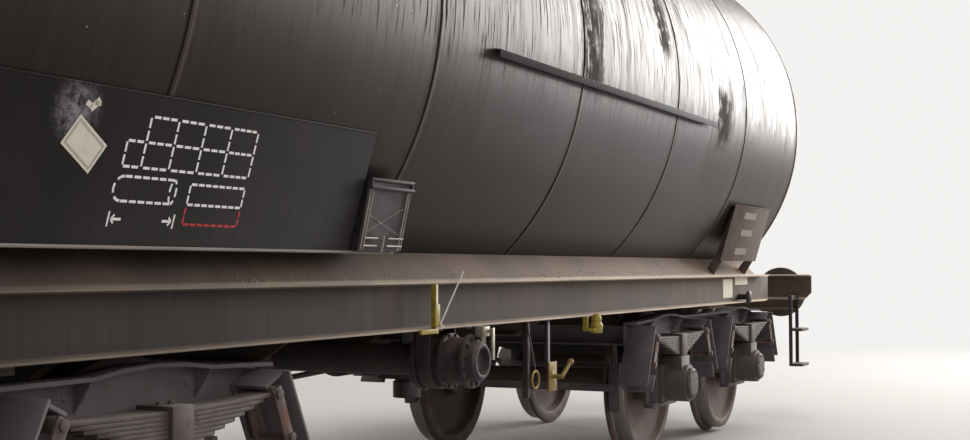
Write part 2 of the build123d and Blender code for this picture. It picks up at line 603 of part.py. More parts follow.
def outlet_drum():
    """Flanged end valve drum with its screwed cap, outside of the sole bar's line."""
    low, high = OUTLET_DRUM_Y
    flange, drum, cap = OUTLET_FLANGE_RADIUS, OUTLET_DRUM_RADIUS, OUTLET_CAP_RADIUS
    points = [(low, 0), (low, flange), (low + 24, flange), (low + 24, drum), (low + 130, drum),
              (low + 130, flange - 8), (low + 152, flange - 8), (low + 152, drum - 6), (low + 236, drum - 12),
              (low + 236, flange - 14), (low + OUTLET_FLANGE_END, flange - 14), (low + OUTLET_FLANGE_END, cap),
            (high - 14, cap),
              (high, cap - 14), (high, 62), (high - 30, 56), (high - 30, 0)]
    return turned(points, (OUTLET_X, 0, OUTLET_Z), "-y")


def outlet_drums():
    return both_sides([outlet_drum()])


def outlet_cradles():
    """Straps that hang from the sole bars and carry the outlet drums."""
    radius = OUTLET_DRUM_RADIUS + SEATING_GAP
    y = (-OUTLET_DRUM_Y[0] - 104, -OUTLET_DRUM_Y[0] - 34)
    ring = turned([(y[0], radius), (y[0], radius + 12), (y[1], radius + 12), (y[1], radius)],
                  (0, 0, OUTLET_Z), "y")
    keep = block((-400, 400), (y[0] - 1, y[1] + 1), (0, OUTLET_Z))
    ears = [block((side * (radius + 6) - 6, side * (radius + 6) + 6), y, (OUTLET_Z, SOLE_BOTTOM_Z))
            for side in (-1, 1)]
    feet = [block(sorted((side * (radius + 1), side * (radius + 60))), (-SOLE_WEB_Y - 44, y[1]),
                  (SOLE_BOTTOM_Z - 10, SOLE_BOTTOM_Z)) for side in (-1, 1)]
    return both_sides([Pos(OUTLET_X, 0, 0) * joined([ring & keep] + ears + feet)])


def outlet_valves():
    """Small vent valves on the drums' caps, each with a lever in front of the cap."""
    out = OUTLET_DRUM_Y[1]
    x, y = 40.0, -OUTLET_DRUM_Y[0] - OUTLET_FLANGE_END - 23
    stem = rod((x, y, OUTLET_Z + 60), (x, y, OUTLET_Z + 120), 15)
    body = block((x - 30, x + 30), (y - 22, y + 22), (OUTLET_Z + 112, OUTLET_Z + 156))
    pin = rod((x + 14, y, OUTLET_Z + 136), (x + 14, -out - 24, OUTLET_Z + 136), 9)
    lever = block((x + 4, x + 24), (-out - 26, -out - 16), (OUTLET_Z + 6, OUTLET_Z + 150))
    cap = rod((0, 0, OUTLET_Z), (0, -out - 2, OUTLET_Z), OUTLET_CAP_RADIUS + SEATING_GAP)
    return both_sides([Pos(OUTLET_X, 0, 0) * joined([stem - cap, body, pin, lever])])


def air_reservoir():
    """Air reservoir with dished ends, carried on two hangers from the cross stays."""
    low, high = 80 - STAY_X[0], STAY_X[0] - 220
    radius = 165.0
    y, z = 560.0, BODY_BOLSTER_Z
    shell = turned([(low, 0), (low + 14, 90), (low + 55, radius), (high - 55, radius), (high - 14, 90), (high, 0)],
                   (0, y, z))
    hangers = [block((x, x + 10), (y - 60, y + 60), (z + 60, tank_underside(y + 60)))
               for x in (low + 90, high - 100)]
    return [clear_of_tank(joined([shell] + hangers))]


def brake_cylinder():
    """Brake cylinder with its piston rod and a reservoir-side bracket."""
    low = STAY_X[0] + 60
    y, z = 430.0, 842.0
    radius = 168.0
    shell = turned([(low, 0), (low, radius - 30), (low + 24, radius), (low + 400, radius), (low + 400, radius + 22),
                    (low + 424, radius + 22), (low + 424, 70), (low + 500, 60), (low + 500, 18), (low + 710, 18),
                    (low + 710, 0)], (0, y, z))
    hangers = [block((x, x + 12), (y - 70, y + 70), (z + 60, tank_underside(y + 70))) for x in (low + 60, low + 330)]
    return [clear_of_tank(joined([shell] + hangers))]


def brake_distributor():
    """Distributor valve block on its bracket."""
    x, y = -200.0, -520.0
    body = block((x - 130, x + 130), (y - 95, y + 95), (760, 930))
    dome = turned([(0, 0), (0, 70), (80, 70), (100, 40), (100, 0)], (x, y, 660), "z")
    hanger = block((x - 60, x + 60), (y - 6, y + 6), (920, tank_underside(-y + 6)))
    return [clear_of_tank(joined([body, dome, hanger]))]


def brake_rods():
    """Equalising lever and pull rods that run towards the bogies."""
    lever_x, z = STAY_X[0] + 770, 850.0
    lever = block((lever_x, lever_x + 24), (-260, 520), (z - 34, z + 34))
    right = rod((lever_x + 12, -200, z - 30), (PULL_ROD_X, -60, PULL_ROD_Z), 15)
    left = rod((-PULL_ROD_X, 60, PULL_ROD_Z), (lever_x + 12, 40, z - 28), 15)
    return [joined([lever, right, left])]


def release_gear():
    """Release wire with its ring, and the change-over plate with its crank, on both sides."""
    web = -SOLE_WEB_Y
    y = web - 30
    wire = rod((RING_X - 104, y, SOLE_BOTTOM_Z - 2.4), (RING_X, y, RING_Z + 49), 5)
    ring = Pos(RING_X, y, RING_Z) * Rot(90, 0, 0) * Torus(44, 7)
    post = block((RING_X - 71, RING_X - 43), (web - 20, web + 10), (647, SOLE_BOTTOM_Z))
    x = CHANGE_PLATE_X
    arm = block((x + 5, x + 33), (web - 40, web - 20), (780, SOLE_BOTTOM_Z))
    plate = block((x, x + 105), (web - 48, web - 40), (666, 818))
    shaft_x, shaft_z = x + 52, 742
    shaft = rod((shaft_x, web - 20, shaft_z), (shaft_x, web - 106, shaft_z), 12)
    crank = rod((shaft_x, web - 100, shaft_z), (shaft_x + 114, web - 100, shaft_z + 68), 11)
    knob = Pos(shaft_x + 118, web - 100, shaft_z + 70) * Sphere(18)
    return both_sides([joined([wire, ring]), post, joined([arm, plate, shaft, crank, knob])])


def hand_levers():
    """Outlet lever on the sole bar and the round-knobbed cock further along."""
    y = -SOLE_EDGE_Y - 14
    x = LEVER_X
    lever = block((x - 10, x + 10), (y - 10, y + 14), (SOLE_BOTTOM_Z - 16, SOLE_TOP_Z - 12))
    grip = block((x - 21, x + 21), (y - 14, y + 8), (SOLE_BOTTOM_Z + 18, SOLE_BOTTOM_Z + 112))
    pointer = block((x - 142, x + 12), (y - 12, y), (SOLE_BOTTOM_Z - 14, SOLE_BOTTOM_Z + 6))
    knob = Pos(KNOB_X, -SOLE_EDGE_Y - 30, SOLE_BOTTOM_Z - 16) * Sphere(30)
    body = turned([(0, 0), (0, 32), (42, 38), (66, 25), (92, 21), (92, 0)],
                  (KNOB_X, -SOLE_EDGE_Y - 30, SOLE_BOTTOM_Z - 93), "z")
    arm = block((KNOB_X - 58, KNOB_X - 20), (-SOLE_EDGE_Y - 40, -SOLE_EDGE_Y + 30),
                (SOLE_BOTTOM_Z - 82, SOLE_BOTTOM_Z - 66))
    hanger = block((KNOB_X - 58, KNOB_X - 38), (-SOLE_EDGE_Y, -SOLE_EDGE_Y + 30), (SOLE_BOTTOM_Z - 72, SOLE_BOTTOM_Z))
    return both_sides([joined([lever, grip, pointer]), joined([knob, body, arm, hanger])])


def corner_steps():
    """Shunter's steps that hang from a bar behind each end of the headstocks."""
    low_x, high_x = STEP_X
    back = STEP_Y[0] + 30
    hangers = [block((x - 6, x + 6), (-back, -STEP_Y[0]), (STEP_TREAD_Z[0], STEP_TOP_Z)) for x in STEP_X]
    treads = [block((low_x - 6, high_x + 6), (-STEP_Y[1], -STEP_Y[0]), (z, z + 22)) for z in STEP_TREAD_Z]
    bar = block((low_x - 6, HEADSTOCK_BACK_X), (-back, -STEP_Y[0]), (STEP_TOP_Z - 40, STEP_TOP_Z))
    return both_ends(both_sides([joined(hangers + treads + [bar])]))


def rope_hooks():
    """Rope eyes on the sole bars near each end."""
    seat = SOLE_WEB_Y + SOLE_WEB + SEATING_GAP
    stem = SOLE_EDGE_Y + 6 - seat
    points = [(0, 0), (0, 22), (stem, 22), (stem, 46), (stem + 24, 46), (stem + 32, 30), (stem + 32, 0)]
    eye = turned(points, (ROPE_HOOK_X, -seat, SOLE_BOTTOM_Z + 44), "-y")
    return both_ends(both_sides([eye]))


def end_platform():
    """Platform over the left-hand headstock and a rail with a gangway in its middle."""
    x, wide, z = PLATFORM_X, PLATFORM_HALF_WIDTH, SOLE_TOP_Z
    deck = block(x, (-wide, wide), (z, z + PLATFORM_PLATE))
    rail_x = x[0] + RAIL_INSET
    foot_z = z + PLATFORM_PLATE
    top_z = foot_z + RAIL_HEIGHT
    outer, inner = wide - RAIL_INSET, GANGWAY_HALF_WIDTH
    rails = []
    for y in ((-outer, -inner), (inner, outer)):
        bars = [rod((rail_x, end, foot_z), (rail_x, end, top_z), RAIL_TUBE) for end in y]
        bars += [block((rail_x - RAIL_FOOT, rail_x + RAIL_FOOT), (end - RAIL_FOOT, end + RAIL_FOOT),
                       (foot_z, foot_z + RAIL_FOOT_PLATE)) for end in y]
        bars += [rod((rail_x, y[0], rail_z), (rail_x, y[1], rail_z), RAIL_TUBE - 3)
                 for rail_z in (top_z - RAIL_TUBE, foot_z + RAIL_HEIGHT / 2)]
        rails.append(joined(bars))
    return [deck] + rails


def ladder():
    """Ladder from the end platform over the tank's end to the walkway."""
    foot_z, top_z = SOLE_TOP_Z + PLATFORM_PLATE, WALKWAY_Z + WALKWAY_PLATE
    pieces = []
    for y in (-LADDER_HALF_WIDTH, LADDER_HALF_WIDTH):
        pieces.append(block((LADDER_X - 20, LADDER_X + 20), (y - 7, y + 7), (foot_z, top_z)))
        pieces.append(block((LADDER_X - 20, WALKWAY_X[0]), (y - 7, y + 7), (top_z - 44, top_z)))
    count = int((top_z - foot_z) / RUNG_PITCH)
    for k in range(1, count + 1):
        z = foot_z + k * RUNG_PITCH
        pieces.append(rod((LADDER_X, -LADDER_HALF_WIDTH, z), (LADDER_X, LADDER_HALF_WIDTH, z), 12))
    for k in range(1, 3):
        x = LADDER_X + k * (WALKWAY_X[0] - LADDER_X) / 3
        pieces.append(rod((x, -LADDER_HALF_WIDTH, top_z - 22), (x, LADDER_HALF_WIDTH, top_z - 22), 12))
    return [joined(pieces)]


def top_walkway():
    """Walkway along the tank's crown, open round the manhole, on saddle feet."""
    z = (WALKWAY_Z, WALKWAY_Z + WALKWAY_PLATE)
    wide = WALKWAY_HALF_WIDTH
    hole = 430.0
    left = block((WALKWAY_X[0], -hole), (-wide, wide), z)
    outer = wide + 280
    sides = [block((-hole - 150, WALKWAY_X[1]), y, z) for y in ((-outer, -wide - 60), (wide + 60, outer))]
    joint = block((-hole - 150, -hole), (-outer, outer), z)
    feet = []
    first, last = WALKWAY_X[0] + 300, -hole - 700
    narrow = [(first + (last - first) * k / 2, wide) for k in range(3)]
    for x, half in narrow + [(-hole - 120, outer), (WALKWAY_X[1] - 200, outer)]:
        low = TANK_Z + sqrt(TANK_RADIUS ** 2 - half ** 2)
        tank_body = Pos(x, 0, TANK_Z) * Rot(0, 90, 0) * Cylinder(TANK_RADIUS + SEATING_GAP, 200)
        foot = block((x - 6, x + 6), (-half, half), (low, WALKWAY_Z)) - tank_body
        feet.append(foot)
    return [joined([left] + sides + [joint] + feet)]


def manhole_neck():
    """Neck, flange and hinge ears on the tank's crown."""
    top = MANHOLE_TOP_Z
    neck = turned([(TANK_CROWN_Z - 40, 0), (TANK_CROWN_Z - 40, MANHOLE_RADIUS),
                   (top - 26, MANHOLE_RADIUS), (top - 26, LID_RADIUS - 6), (top, LID_RADIUS - 6), (top, 0)], axis="z")
    tank_body = Pos(0, 0, TANK_Z) * Rot(0, 90, 0) * Cylinder(TANK_RADIUS + SEATING_GAP, 900)
    ears = [block((LID_RADIUS - 40, LID_HINGE_X + 26), (y - 9, y + 9), (top - 26, top + 30)) for y in (-62, 62)]
    gap = block((0, LID_RADIUS + 6), (-90, 90), (top, top + 60))
    ears = [ear - gap for ear in ears]
    pin = rod((LID_HINGE_X, -80, top + 12), (LID_HINGE_X, 80, top + 12), LID_PIN_RADIUS)
    return [joined([neck - tank_body] + ears + [pin])]


def manhole_lid():
    """Dished lid with screw dogs, turning on the hinge pin."""
    low = MANHOLE_TOP_Z + SEATING_GAP
    lid = turned([(low, 0), (low, LID_RADIUS), (low + LID_THICKNESS, LID_RADIUS), (low + LID_THICKNESS, 240),
                  (low + 52, 120), (low + 60, 0)], axis="z")
    arm = block((200, LID_HINGE_X), (-40, 40), (low, low + 24))
    knuckle = rod((LID_HINGE_X, -40, MANHOLE_TOP_Z + 12), (LID_HINGE_X, 40, MANHOLE_TOP_Z + 12), 24)
    neck_room = rod((LID_HINGE_X, -41, MANHOLE_TOP_Z + 12), (LID_HINGE_X, 41, MANHOLE_TOP_Z + 12),
                    LID_PIN_RADIUS + RUNNING_CLEARANCE)
    dogs = []
    for k in range(6):
        angle = radians(30 + 60 * k)
        x, y = 285 * cos(angle), 285 * sin(angle)
        dogs.append(rod((x, y, low + 10), (x, y, low + 66), 14))
        dogs.append(block((x - 42, x + 42), (y - 8, y + 8), (low + 50, low + 66)))
    return [joined([lid, arm, knuckle] + dogs) - neck_room]


def top_valves():
    """Safety valve and vapour connection beside the manhole."""
    pieces = []
    for x, radius, height in ((640.0, 62.0, 170.0), (860.0, 48.0, 140.0)):
        base = TANK_CROWN_Z
        body = turned([(base - 20, 0), (base - 20, radius + 28), (base + 26, radius + 28), (base + 26, radius),
                       (base + height, radius), (base + height, radius + 16), (base + height + 22, radius + 16),
                       (base + height + 40, 20), (base + height + 40, 0)], (x, 0, 0), "z")
        tank_body = Pos(x, 0, TANK_Z) * Rot(0, 90, 0) * Cylinder(TANK_RADIUS + SEATING_GAP, 400)
        pieces.append(body - tank_body)
    return pieces


def wheel():
    """Monobloc wheel on the +Y side: hub, dished web, rim, coned tread and flange."""
    inner = BACK_TO_BACK / 2
    outer = inner + RIM_WIDTH
    rim = TREAD_RADIUS - RIM_DEPTH
    web = inner + 62
    points = [(inner - HUB_OVERHANG, SEAT_RADIUS), (inner - HUB_OVERHANG, HUB_RADIUS - 6),
              (web - 14, HUB_RADIUS + 14), (web - 4, HUB_RADIUS + 60), (web + 6, rim - 40), (inner + 8, rim - 4),
              (inner, rim + 6), (inner, AXLE_Z - 10), (inner + 8, AXLE_Z - 1), (inner + 14, AXLE_Z),
              (inner + 22, AXLE_Z - 3), (inner + 34, TREAD_RADIUS + 7), (inner + 50, TREAD_RADIUS),
              (outer - 6, TREAD_RADIUS - 4), (outer, TREAD_RADIUS - 10), (outer, rim + 6), (outer - 8, rim - 4),
              (web + 6 + WEB_THICKNESS, rim - 40), (web - 4 + WEB_THICKNESS, HUB_RADIUS + 60),
              (web + WEB_THICKNESS + 12, HUB_RADIUS + 14), (outer + HUB_OVERHANG, HUB_RADIUS - 6),
              (outer + HUB_OVERHANG, SEAT_RADIUS)]
    return turned(points, (0, 0, AXLE_Z), "y")


def axle():
    """Stepped axle with wheel seats and journals."""
    seat_in = BACK_TO_BACK / 2 - HUB_OVERHANG
    seat_out = BACK_TO_BACK / 2 + RIM_WIDTH + HUB_OVERHANG
    collar = BOX_BACK_Y - COLLAR_GAP
    end = BOX_FRONT_Y - 30
    half = [(0, AXLE_RADIUS), (seat_in - 40, AXLE_RADIUS), (seat_in, SEAT_RADIUS), (seat_out, SEAT_RADIUS),
            (seat_out, JOURNAL_RADIUS + 12), (collar, JOURNAL_RADIUS + 12), (collar, JOURNAL_RADIUS),
            (end, JOURNAL_RADIUS), (end, 0)]
    points = [(-y, r) for y, r in reversed(half)] + half[1:]
    return turned(points, (0, 0, AXLE_Z), "y")


def axle_box():
    """Roller axle box on the -Y side: barrel, guide block, spring seat and cover."""
    flat_low, flat_high = AXLE_Z - 120, AXLE_Z + 128
    barrel = turned([(BOX_BACK_Y, 0), (BOX_BACK_Y, BOX_RADIUS), (BOX_FRONT_Y, BOX_RADIUS),
                     (BOX_FRONT_Y, BOX_COVER_RADIUS), (BOX_COVER_Y - 10, BOX_COVER_RADIUS),
                     (BOX_COVER_Y, BOX_COVER_RADIUS - 14), (BOX_COVER_Y, 0)], (0, 0, AXLE_Z), "-y")
    guide_half = BOX_HALF_WIDTH - SEATING_GAP
    guide = block((-guide_half, guide_half), (-960, -BOX_BACK_Y), (flat_low, flat_high))
    seat_z = SPRING_TOP_Z - LEAF_COUNT * LEAF_THICKNESS - BUCKLE_WALL
    seat = block((-90, 90), (-JOURNAL_Y - 80, -JOURNAL_Y + 80), (AXLE_Z + 60, seat_z))
    bore = rod((0, -BOX_BACK_Y + 1, AXLE_Z), (0, -BOX_FRONT_Y + 25, AXLE_Z), JOURNAL_RADIUS + RUNNING_CLEARANCE)
    return joined([barrel, guide, seat]) - bore


def leaf_spring():
    """Laminated spring over one axle box: stepped leaves, eyes and the buckle."""
    pieces = []
    low, high = -JOURNAL_Y - LEAF_WIDTH / 2, -JOURNAL_Y + LEAF_WIDTH / 2
    curve = SPRING_CAMBER / SPRING_HALF_LENGTH ** 2
    for k in range(LEAF_COUNT):
        half = SPRING_HALF_LENGTH - LEAF_STEP * k
        top = SPRING_TOP_Z - LEAF_THICKNESS * k
        rise = curve * half ** 2
        upper = ThreePointArc((-half, low, top + rise), (0, low, top), (half, low, top + rise))
        lower = ThreePointArc((-half, low, top + rise - LEAF_THICKNESS), (0, low, top - LEAF_THICKNESS),
                              (half, low, top + rise - LEAF_THICKNESS))
        ends = [Edge.make_line((side * half, low, top + rise), (side * half, low, top + rise - LEAF_THICKNESS))
                for side in (-1, 1)]
        face = make_face([upper.edge(), lower.edge()] + ends)
        pieces.append(extrude(face, amount=high - low, dir=(0, 1, 0)))
    eye_z = SPRING_TOP_Z + SPRING_CAMBER - LEAF_THICKNESS / 2
    for side in (-1, 1):
        eye_x = side * SPRING_HALF_LENGTH
        pieces.append(rod((eye_x, low, eye_z), (eye_x, high, eye_z), EYE_RADIUS))
    pack_low = SPRING_TOP_Z - LEAF_COUNT * LEAF_THICKNESS
    pieces.append(block((-BUCKLE_LENGTH / 2, BUCKLE_LENGTH / 2), (low - BUCKLE_WALL, high + BUCKLE_WALL),
                        (pack_low - BUCKLE_WALL, SPRING_TOP_Z + BUCKLE_WALL)))
    return joined(pieces)


def hanger_leg(side):
    """Inclined channel bracket beside the spring's end, open towards the outside."""
    back = FRAME_WEB_Y + FRAME_PLATE
    front = JOURNAL_Y + LEAF_WIDTH / 2 + 18
    half = LEG_WIDTH / 2
    web = block((-half, half), (-back - LEG_PLATE, -back), (-LEG_LENGTH, 0))
    outer = block((half - LEG_PLATE, half), (-front, -back), (-LEG_LENGTH, 0))
    inner = block((-half, -half + LEG_PLATE), (-front, -back), (-LEG_LENGTH, -LEG_NOTCH))
    cap = block((-half, half), (-front + 30, -back), (-LEG_PLATE, 0))
    leg = Rot(0, -LEG_ANGLE, 0) * joined([web, outer, inner, cap])
    leg = Pos(LEG_TOP_X, 0, LEG_TOP_Z) * leg
    return leg if side > 0 else mirror(leg, about=Plane.YZ)


def spring_link(side):
    """Pair of link plates from the spring's eye down to the pin in the bracket."""
    top = (SPRING_HALF_LENGTH, SPRING_TOP_Z + SPRING_CAMBER - LEAF_THICKNESS / 2)
    lean = radians(LEG_ANGLE)
    low = (top[0] + LINK_LENGTH * sin(lean), top[1] - LINK_LENGTH * cos(lean))
    half = LINK_WIDTH / 2
    across = (half * cos(lean), half * sin(lean))
    points = [(top[0] - across[0] - 8, top[1] - across[1] + 20), (top[0] + across[0] - 8, top[1] + across[1] + 20),
              (low[0] + across[0], low[1] + across[1] - 20), (low[0] - across[0], low[1] - across[1] - 20)]
    pieces = []
    for y in (-JOURNAL_Y - LEAF_WIDTH / 2 - LINK_PLATE, -JOURNAL_Y + LEAF_WIDTH / 2):
        pieces.append(outline_xz(points, (y, y + LINK_PLATE)))
    back = FRAME_WEB_Y + FRAME_PLATE + LEG_PLATE
    pieces.append(rod((low[0], -back, low[1]), (low[0], -JOURNAL_Y - LEAF_WIDTH / 2 - 24, low[1]), 17))
    pieces.append(rod((top[0], -JOURNAL_Y - LEAF_WIDTH / 2 - 22, top[1]),
                      (top[0], -JOURNAL_Y - LEAF_WIDTH / 2 - 4, top[1]), 19))
    link = joined(pieces)
    return link if side > 0 else mirror(link, about=Plane.YZ)


def side_frame():
    """Pressed side frame on the -Y side: web with horns, top and bottom flanges, keepers."""
    half_base = WHEELBASE / 2
    gap_in, gap_out = half_base - BOX_HALF_WIDTH, half_base + BOX_HALF_WIDTH
    crown = [(half_base - 300, FRAME_TOP_Z), (half_base - 150, FRAME_TOP_Z + 0.75 * FRAME_ARCH),
             (half_base, FRAME_TOP_Z + FRAME_ARCH), (half_base + 150, FRAME_TOP_Z + 0.75 * FRAME_ARCH),
             (half_base + 300, FRAME_TOP_Z)]
    right_top = crown + [(FRAME_END_X, FRAME_END_TOP_Z)]
    top = [(-x, z) for x, z in reversed(right_top)] + right_top
    right_low = [(FRAME_END_X, FRAME_END_BOTTOM_Z), (gap_out + HORN_WIDTH + 40, FRAME_BOTTOM_Z),
                 (gap_out + HORN_WIDTH, HORN_BOTTOM_Z), (gap_out, HORN_BOTTOM_Z), (gap_out, AXLE_Z + 170),
                 (gap_in, AXLE_Z + 170), (gap_in, HORN_BOTTOM_Z), (gap_in - HORN_WIDTH, HORN_BOTTOM_Z),
                 (gap_in - HORN_WIDTH - 40, FRAME_BOTTOM_Z)]
    low = right_low + [(-x, z) for x, z in reversed(right_low)]
    y = (-FRAME_WEB_Y - FRAME_PLATE, -FRAME_WEB_Y)
    web = outline_xz(top + low, y)
    flange_y = (-FRAME_WEB_Y - FRAME_FLANGE, -FRAME_WEB_Y)
    pieces = [web, strip(top, FRAME_PLATE, flange_y)]
    inner_x = gap_in - HORN_WIDTH - 40
    bottom_z = (FRAME_BOTTOM_Z, FRAME_BOTTOM_Z + FRAME_PLATE)
    leg_x = half_base - LEG_TOP_X - (LEG_TOP_Z - FRAME_BOTTOM_Z) * tan(radians(LEG_ANGLE))
    leg_half = LEG_WIDTH / 2 / cos(radians(LEG_ANGLE)) + 12
    pieces.append(block((leg_half - leg_x, leg_x - leg_half), flange_y, bottom_z))
    for side in (-1, 1):
        for edge, out in ((gap_in, -1), (gap_out, 1)):
            x = sorted((side * edge, side * (edge + out * 24)))
            pieces.append(block(x, (-FRAME_WEB_Y - 62, -FRAME_WEB_Y), (HORN_BOTTOM_Z, AXLE_Z + 170)))
        keeper = sorted((side * (gap_in - HORN_WIDTH), side * (gap_out + HORN_WIDTH)))
        keeper_z = (HORN_BOTTOM_Z - KEEPER_THICKNESS, HORN_BOTTOM_Z)
        pieces.append(block(keeper, (-FRAME_WEB_Y - 62, -FRAME_WEB_Y + 10), keeper_z))
        pieces.append(block(sorted((side * (leg_x + leg_half + 60), side * inner_x)), flange_y, bottom_z))
        for x in (side * (half_base - GUSSET_SPREAD), side * (half_base + GUSSET_SPREAD)):
            pieces.append(outline_yz([(-FRAME_WEB_Y - FRAME_PLATE, FRAME_TOP_Z - FRAME_PLATE),
                                      (-FRAME_WEB_Y - FRAME_FLANGE + 6, FRAME_TOP_Z - FRAME_PLATE),
                                      (-FRAME_WEB_Y - FRAME_PLATE, FRAME_TOP_Z - 120)],
                                     (x - GUSSET_PLATE / 2, x + GUSSET_PLATE / 2)))
    return joined(pieces)


def bogie_frame():
    """Two side frames joined by channel end beams."""
    sides = both_sides([side_frame()])
    beams = []
    for side in (-1, 1):
        x = sorted((side * (FRAME_END_X - 92), side * (FRAME_END_X - 80)))
        flange = sorted((side * (FRAME_END_X - 80), side * (FRAME_END_X - 12)))
        y = (-FRAME_WEB_Y, FRAME_WEB_Y)
        z = (FRAME_END_BOTTOM_Z + 12, FRAME_END_TOP_Z - 22)
        beams += [block(x, y, z), block(flange, y, (z[0], z[0] + 12)), block(flange, y, (z[1] - 12, z[1]))]
    return joined(sides + beams)


def bogie_bolster():
    """Box bolster with the pivot bowl, side bearer pads and brake hanger brackets."""
    half, wall = BOLSTER_HALF_WIDTH, BOLSTER_WALL
    y = FRAME_WEB_Y

    def section(inset):
        low, top = BOLSTER_BOTTOM_Z + inset, BOLSTER_TOP_Z - inset
        side = y - inset
        return [(-side, top), (side, top), (side, FRAME_BOTTOM_Z + inset), (400, low), (-400, low),
                (-side, FRAME_BOTTOM_Z + inset)]

    shell = outline_yz(section(0), (-half, half)) - outline_yz(section(wall), (-half + wall, half - wall))
    bore = PIVOT_RADIUS + RUNNING_CLEARANCE
    bowl = turned([(BOLSTER_TOP_Z - 2, bore), (PIVOT_SEAT_Z, bore), (PIVOT_SEAT_Z, PIVOT_FLANGE_RADIUS - 4),
                   (BOLSTER_TOP_Z - 2, PIVOT_FLANGE_RADIUS + 6)], axis="z")
    pads = [block((-100, 100), (side * BEARER_Y - 50, side * BEARER_Y + 50), (BOLSTER_TOP_Z - 1, PIVOT_SEAT_Z + 4))
            for side in (-1, 1)]
    arms = []
    reach = WHEELBASE / 2 - TREAD_RADIUS - BLOCK_CLEARANCE - 16
    for side_x in (-1, 1):
        for side_y in (-1, 1):
            x = sorted((side_x * (half - 1), side_x * reach))
            arms.append(block(x, (side_y * BLOCK_Y - 14, side_y * BLOCK_Y + 14), (790, 832)))
    return joined([shell, bowl] + pads + arms)


def brake_set(side, inner):
    """Brake beam with two blocks and hangers, on one side of one axle at x = 0."""
    direction = side
    near = TREAD_RADIUS + BLOCK_CLEARANCE
    pieces = []
    for side_y in (-1, 1):
        y = (side_y * BLOCK_Y - BLOCK_WIDTH / 2, side_y * BLOCK_Y + BLOCK_WIDTH / 2)
        ring = turned([(y[0], near), (y[0], near + BLOCK_THICKNESS), (y[1], near + BLOCK_THICKNESS), (y[1], near)],
                      (0, 0, AXLE_Z), "y")
        reach = (near + BLOCK_THICKNESS) * 1.2
        sector = outline_xz([(0, AXLE_Z), (direction * reach, AXLE_Z + reach * tan(radians(BLOCK_ARC / 2))),
                             (direction * reach, AXLE_Z - reach * tan(radians(BLOCK_ARC / 2)))], (y[0] - 1, y[1] + 1))
        pieces.append(ring & sector)
        hang_x = direction * (near + 16)
        top_z = FRAME_BOTTOM_Z + 50 if inner else FRAME_END_BOTTOM_Z + 12
        pieces.append(block(sorted((hang_x, hang_x + direction * 26)), (side_y * BLOCK_Y - 12, side_y * BLOCK_Y + 12),
                            (AXLE_Z, top_z)))
    beam_x = direction * (TREAD_RADIUS + FLANGE_HEIGHT + 2 * BLOCK_CLEARANCE + BEAM_RADIUS)
    pieces.append(rod((beam_x, -BLOCK_Y, AXLE_Z), (beam_x, BLOCK_Y, AXLE_Z), BEAM_RADIUS))
    return joined(pieces)


def bogie_brakes():
    """Four brake beams with their blocks, clasping both wheelsets."""
    sets = []
    for axle_side in (-1, 1):
        for side in (-1, 1):
            inner = side != axle_side
            shape = Pos(axle_side * WHEELBASE / 2, 0, 0) * brake_set(side, inner)
            if not inner:
                x = axle_side * (WHEELBASE / 2 + TREAD_RADIUS + BLOCK_CLEARANCE + 16)
                beam_x = axle_side * (FRAME_END_X - 92)
                for side_y in (-1, 1):
                    y = (side_y * BLOCK_Y - 12, side_y * BLOCK_Y + 12)
                    shape = shape + block(sorted((x, beam_x)), y, (FRAME_END_BOTTOM_Z + 12, FRAME_END_BOTTOM_Z + 44))
            sets.append(shape)
    return sets


def on_axles(shape_for_side):
    """Copies of a -Y side piece at both axles and on both sides of a bogie."""
    pieces = []
    for x in (-WHEELBASE / 2, WHEELBASE / 2):
        pieces += both_sides([Pos(x, 0, 0) * s for s in shape_for_side])
    return pieces


def bogie_nodes(name, x):
    """Pieces of one bogie by node name, placed at its pivot."""
    legs = on_axles([hanger_leg(-1), hanger_leg(1)])
    links = on_axles([spring_link(-1), spring_link(1)])
    groups = {
        "frame": [bogie_frame()],
        "bolster": [bogie_bolster()],
        "springs": on_axles([leaf_spring()]),
        "spring_links": links,
        "hanger_brackets": legs,
        "axle_boxes": on_axles([axle_box()]),
        "brake_beams": bogie_brakes(),
    }
    return {f"bogie_{name}_{key}": [Pos(x, 0, 0) * s for s in shapes] for key, shapes in groups.items()}


def wheelset_nodes(name, x):
    """Axle and wheel pair of one wheelset."""
    wheels = both_sides([wheel()])
    return {f"wheelset_{name}_axle": [Pos(x, 0, 0) * axle()],
            f"wheelset_{name}_wheels": [Pos(x, 0, 0) * w for w in wheels]}


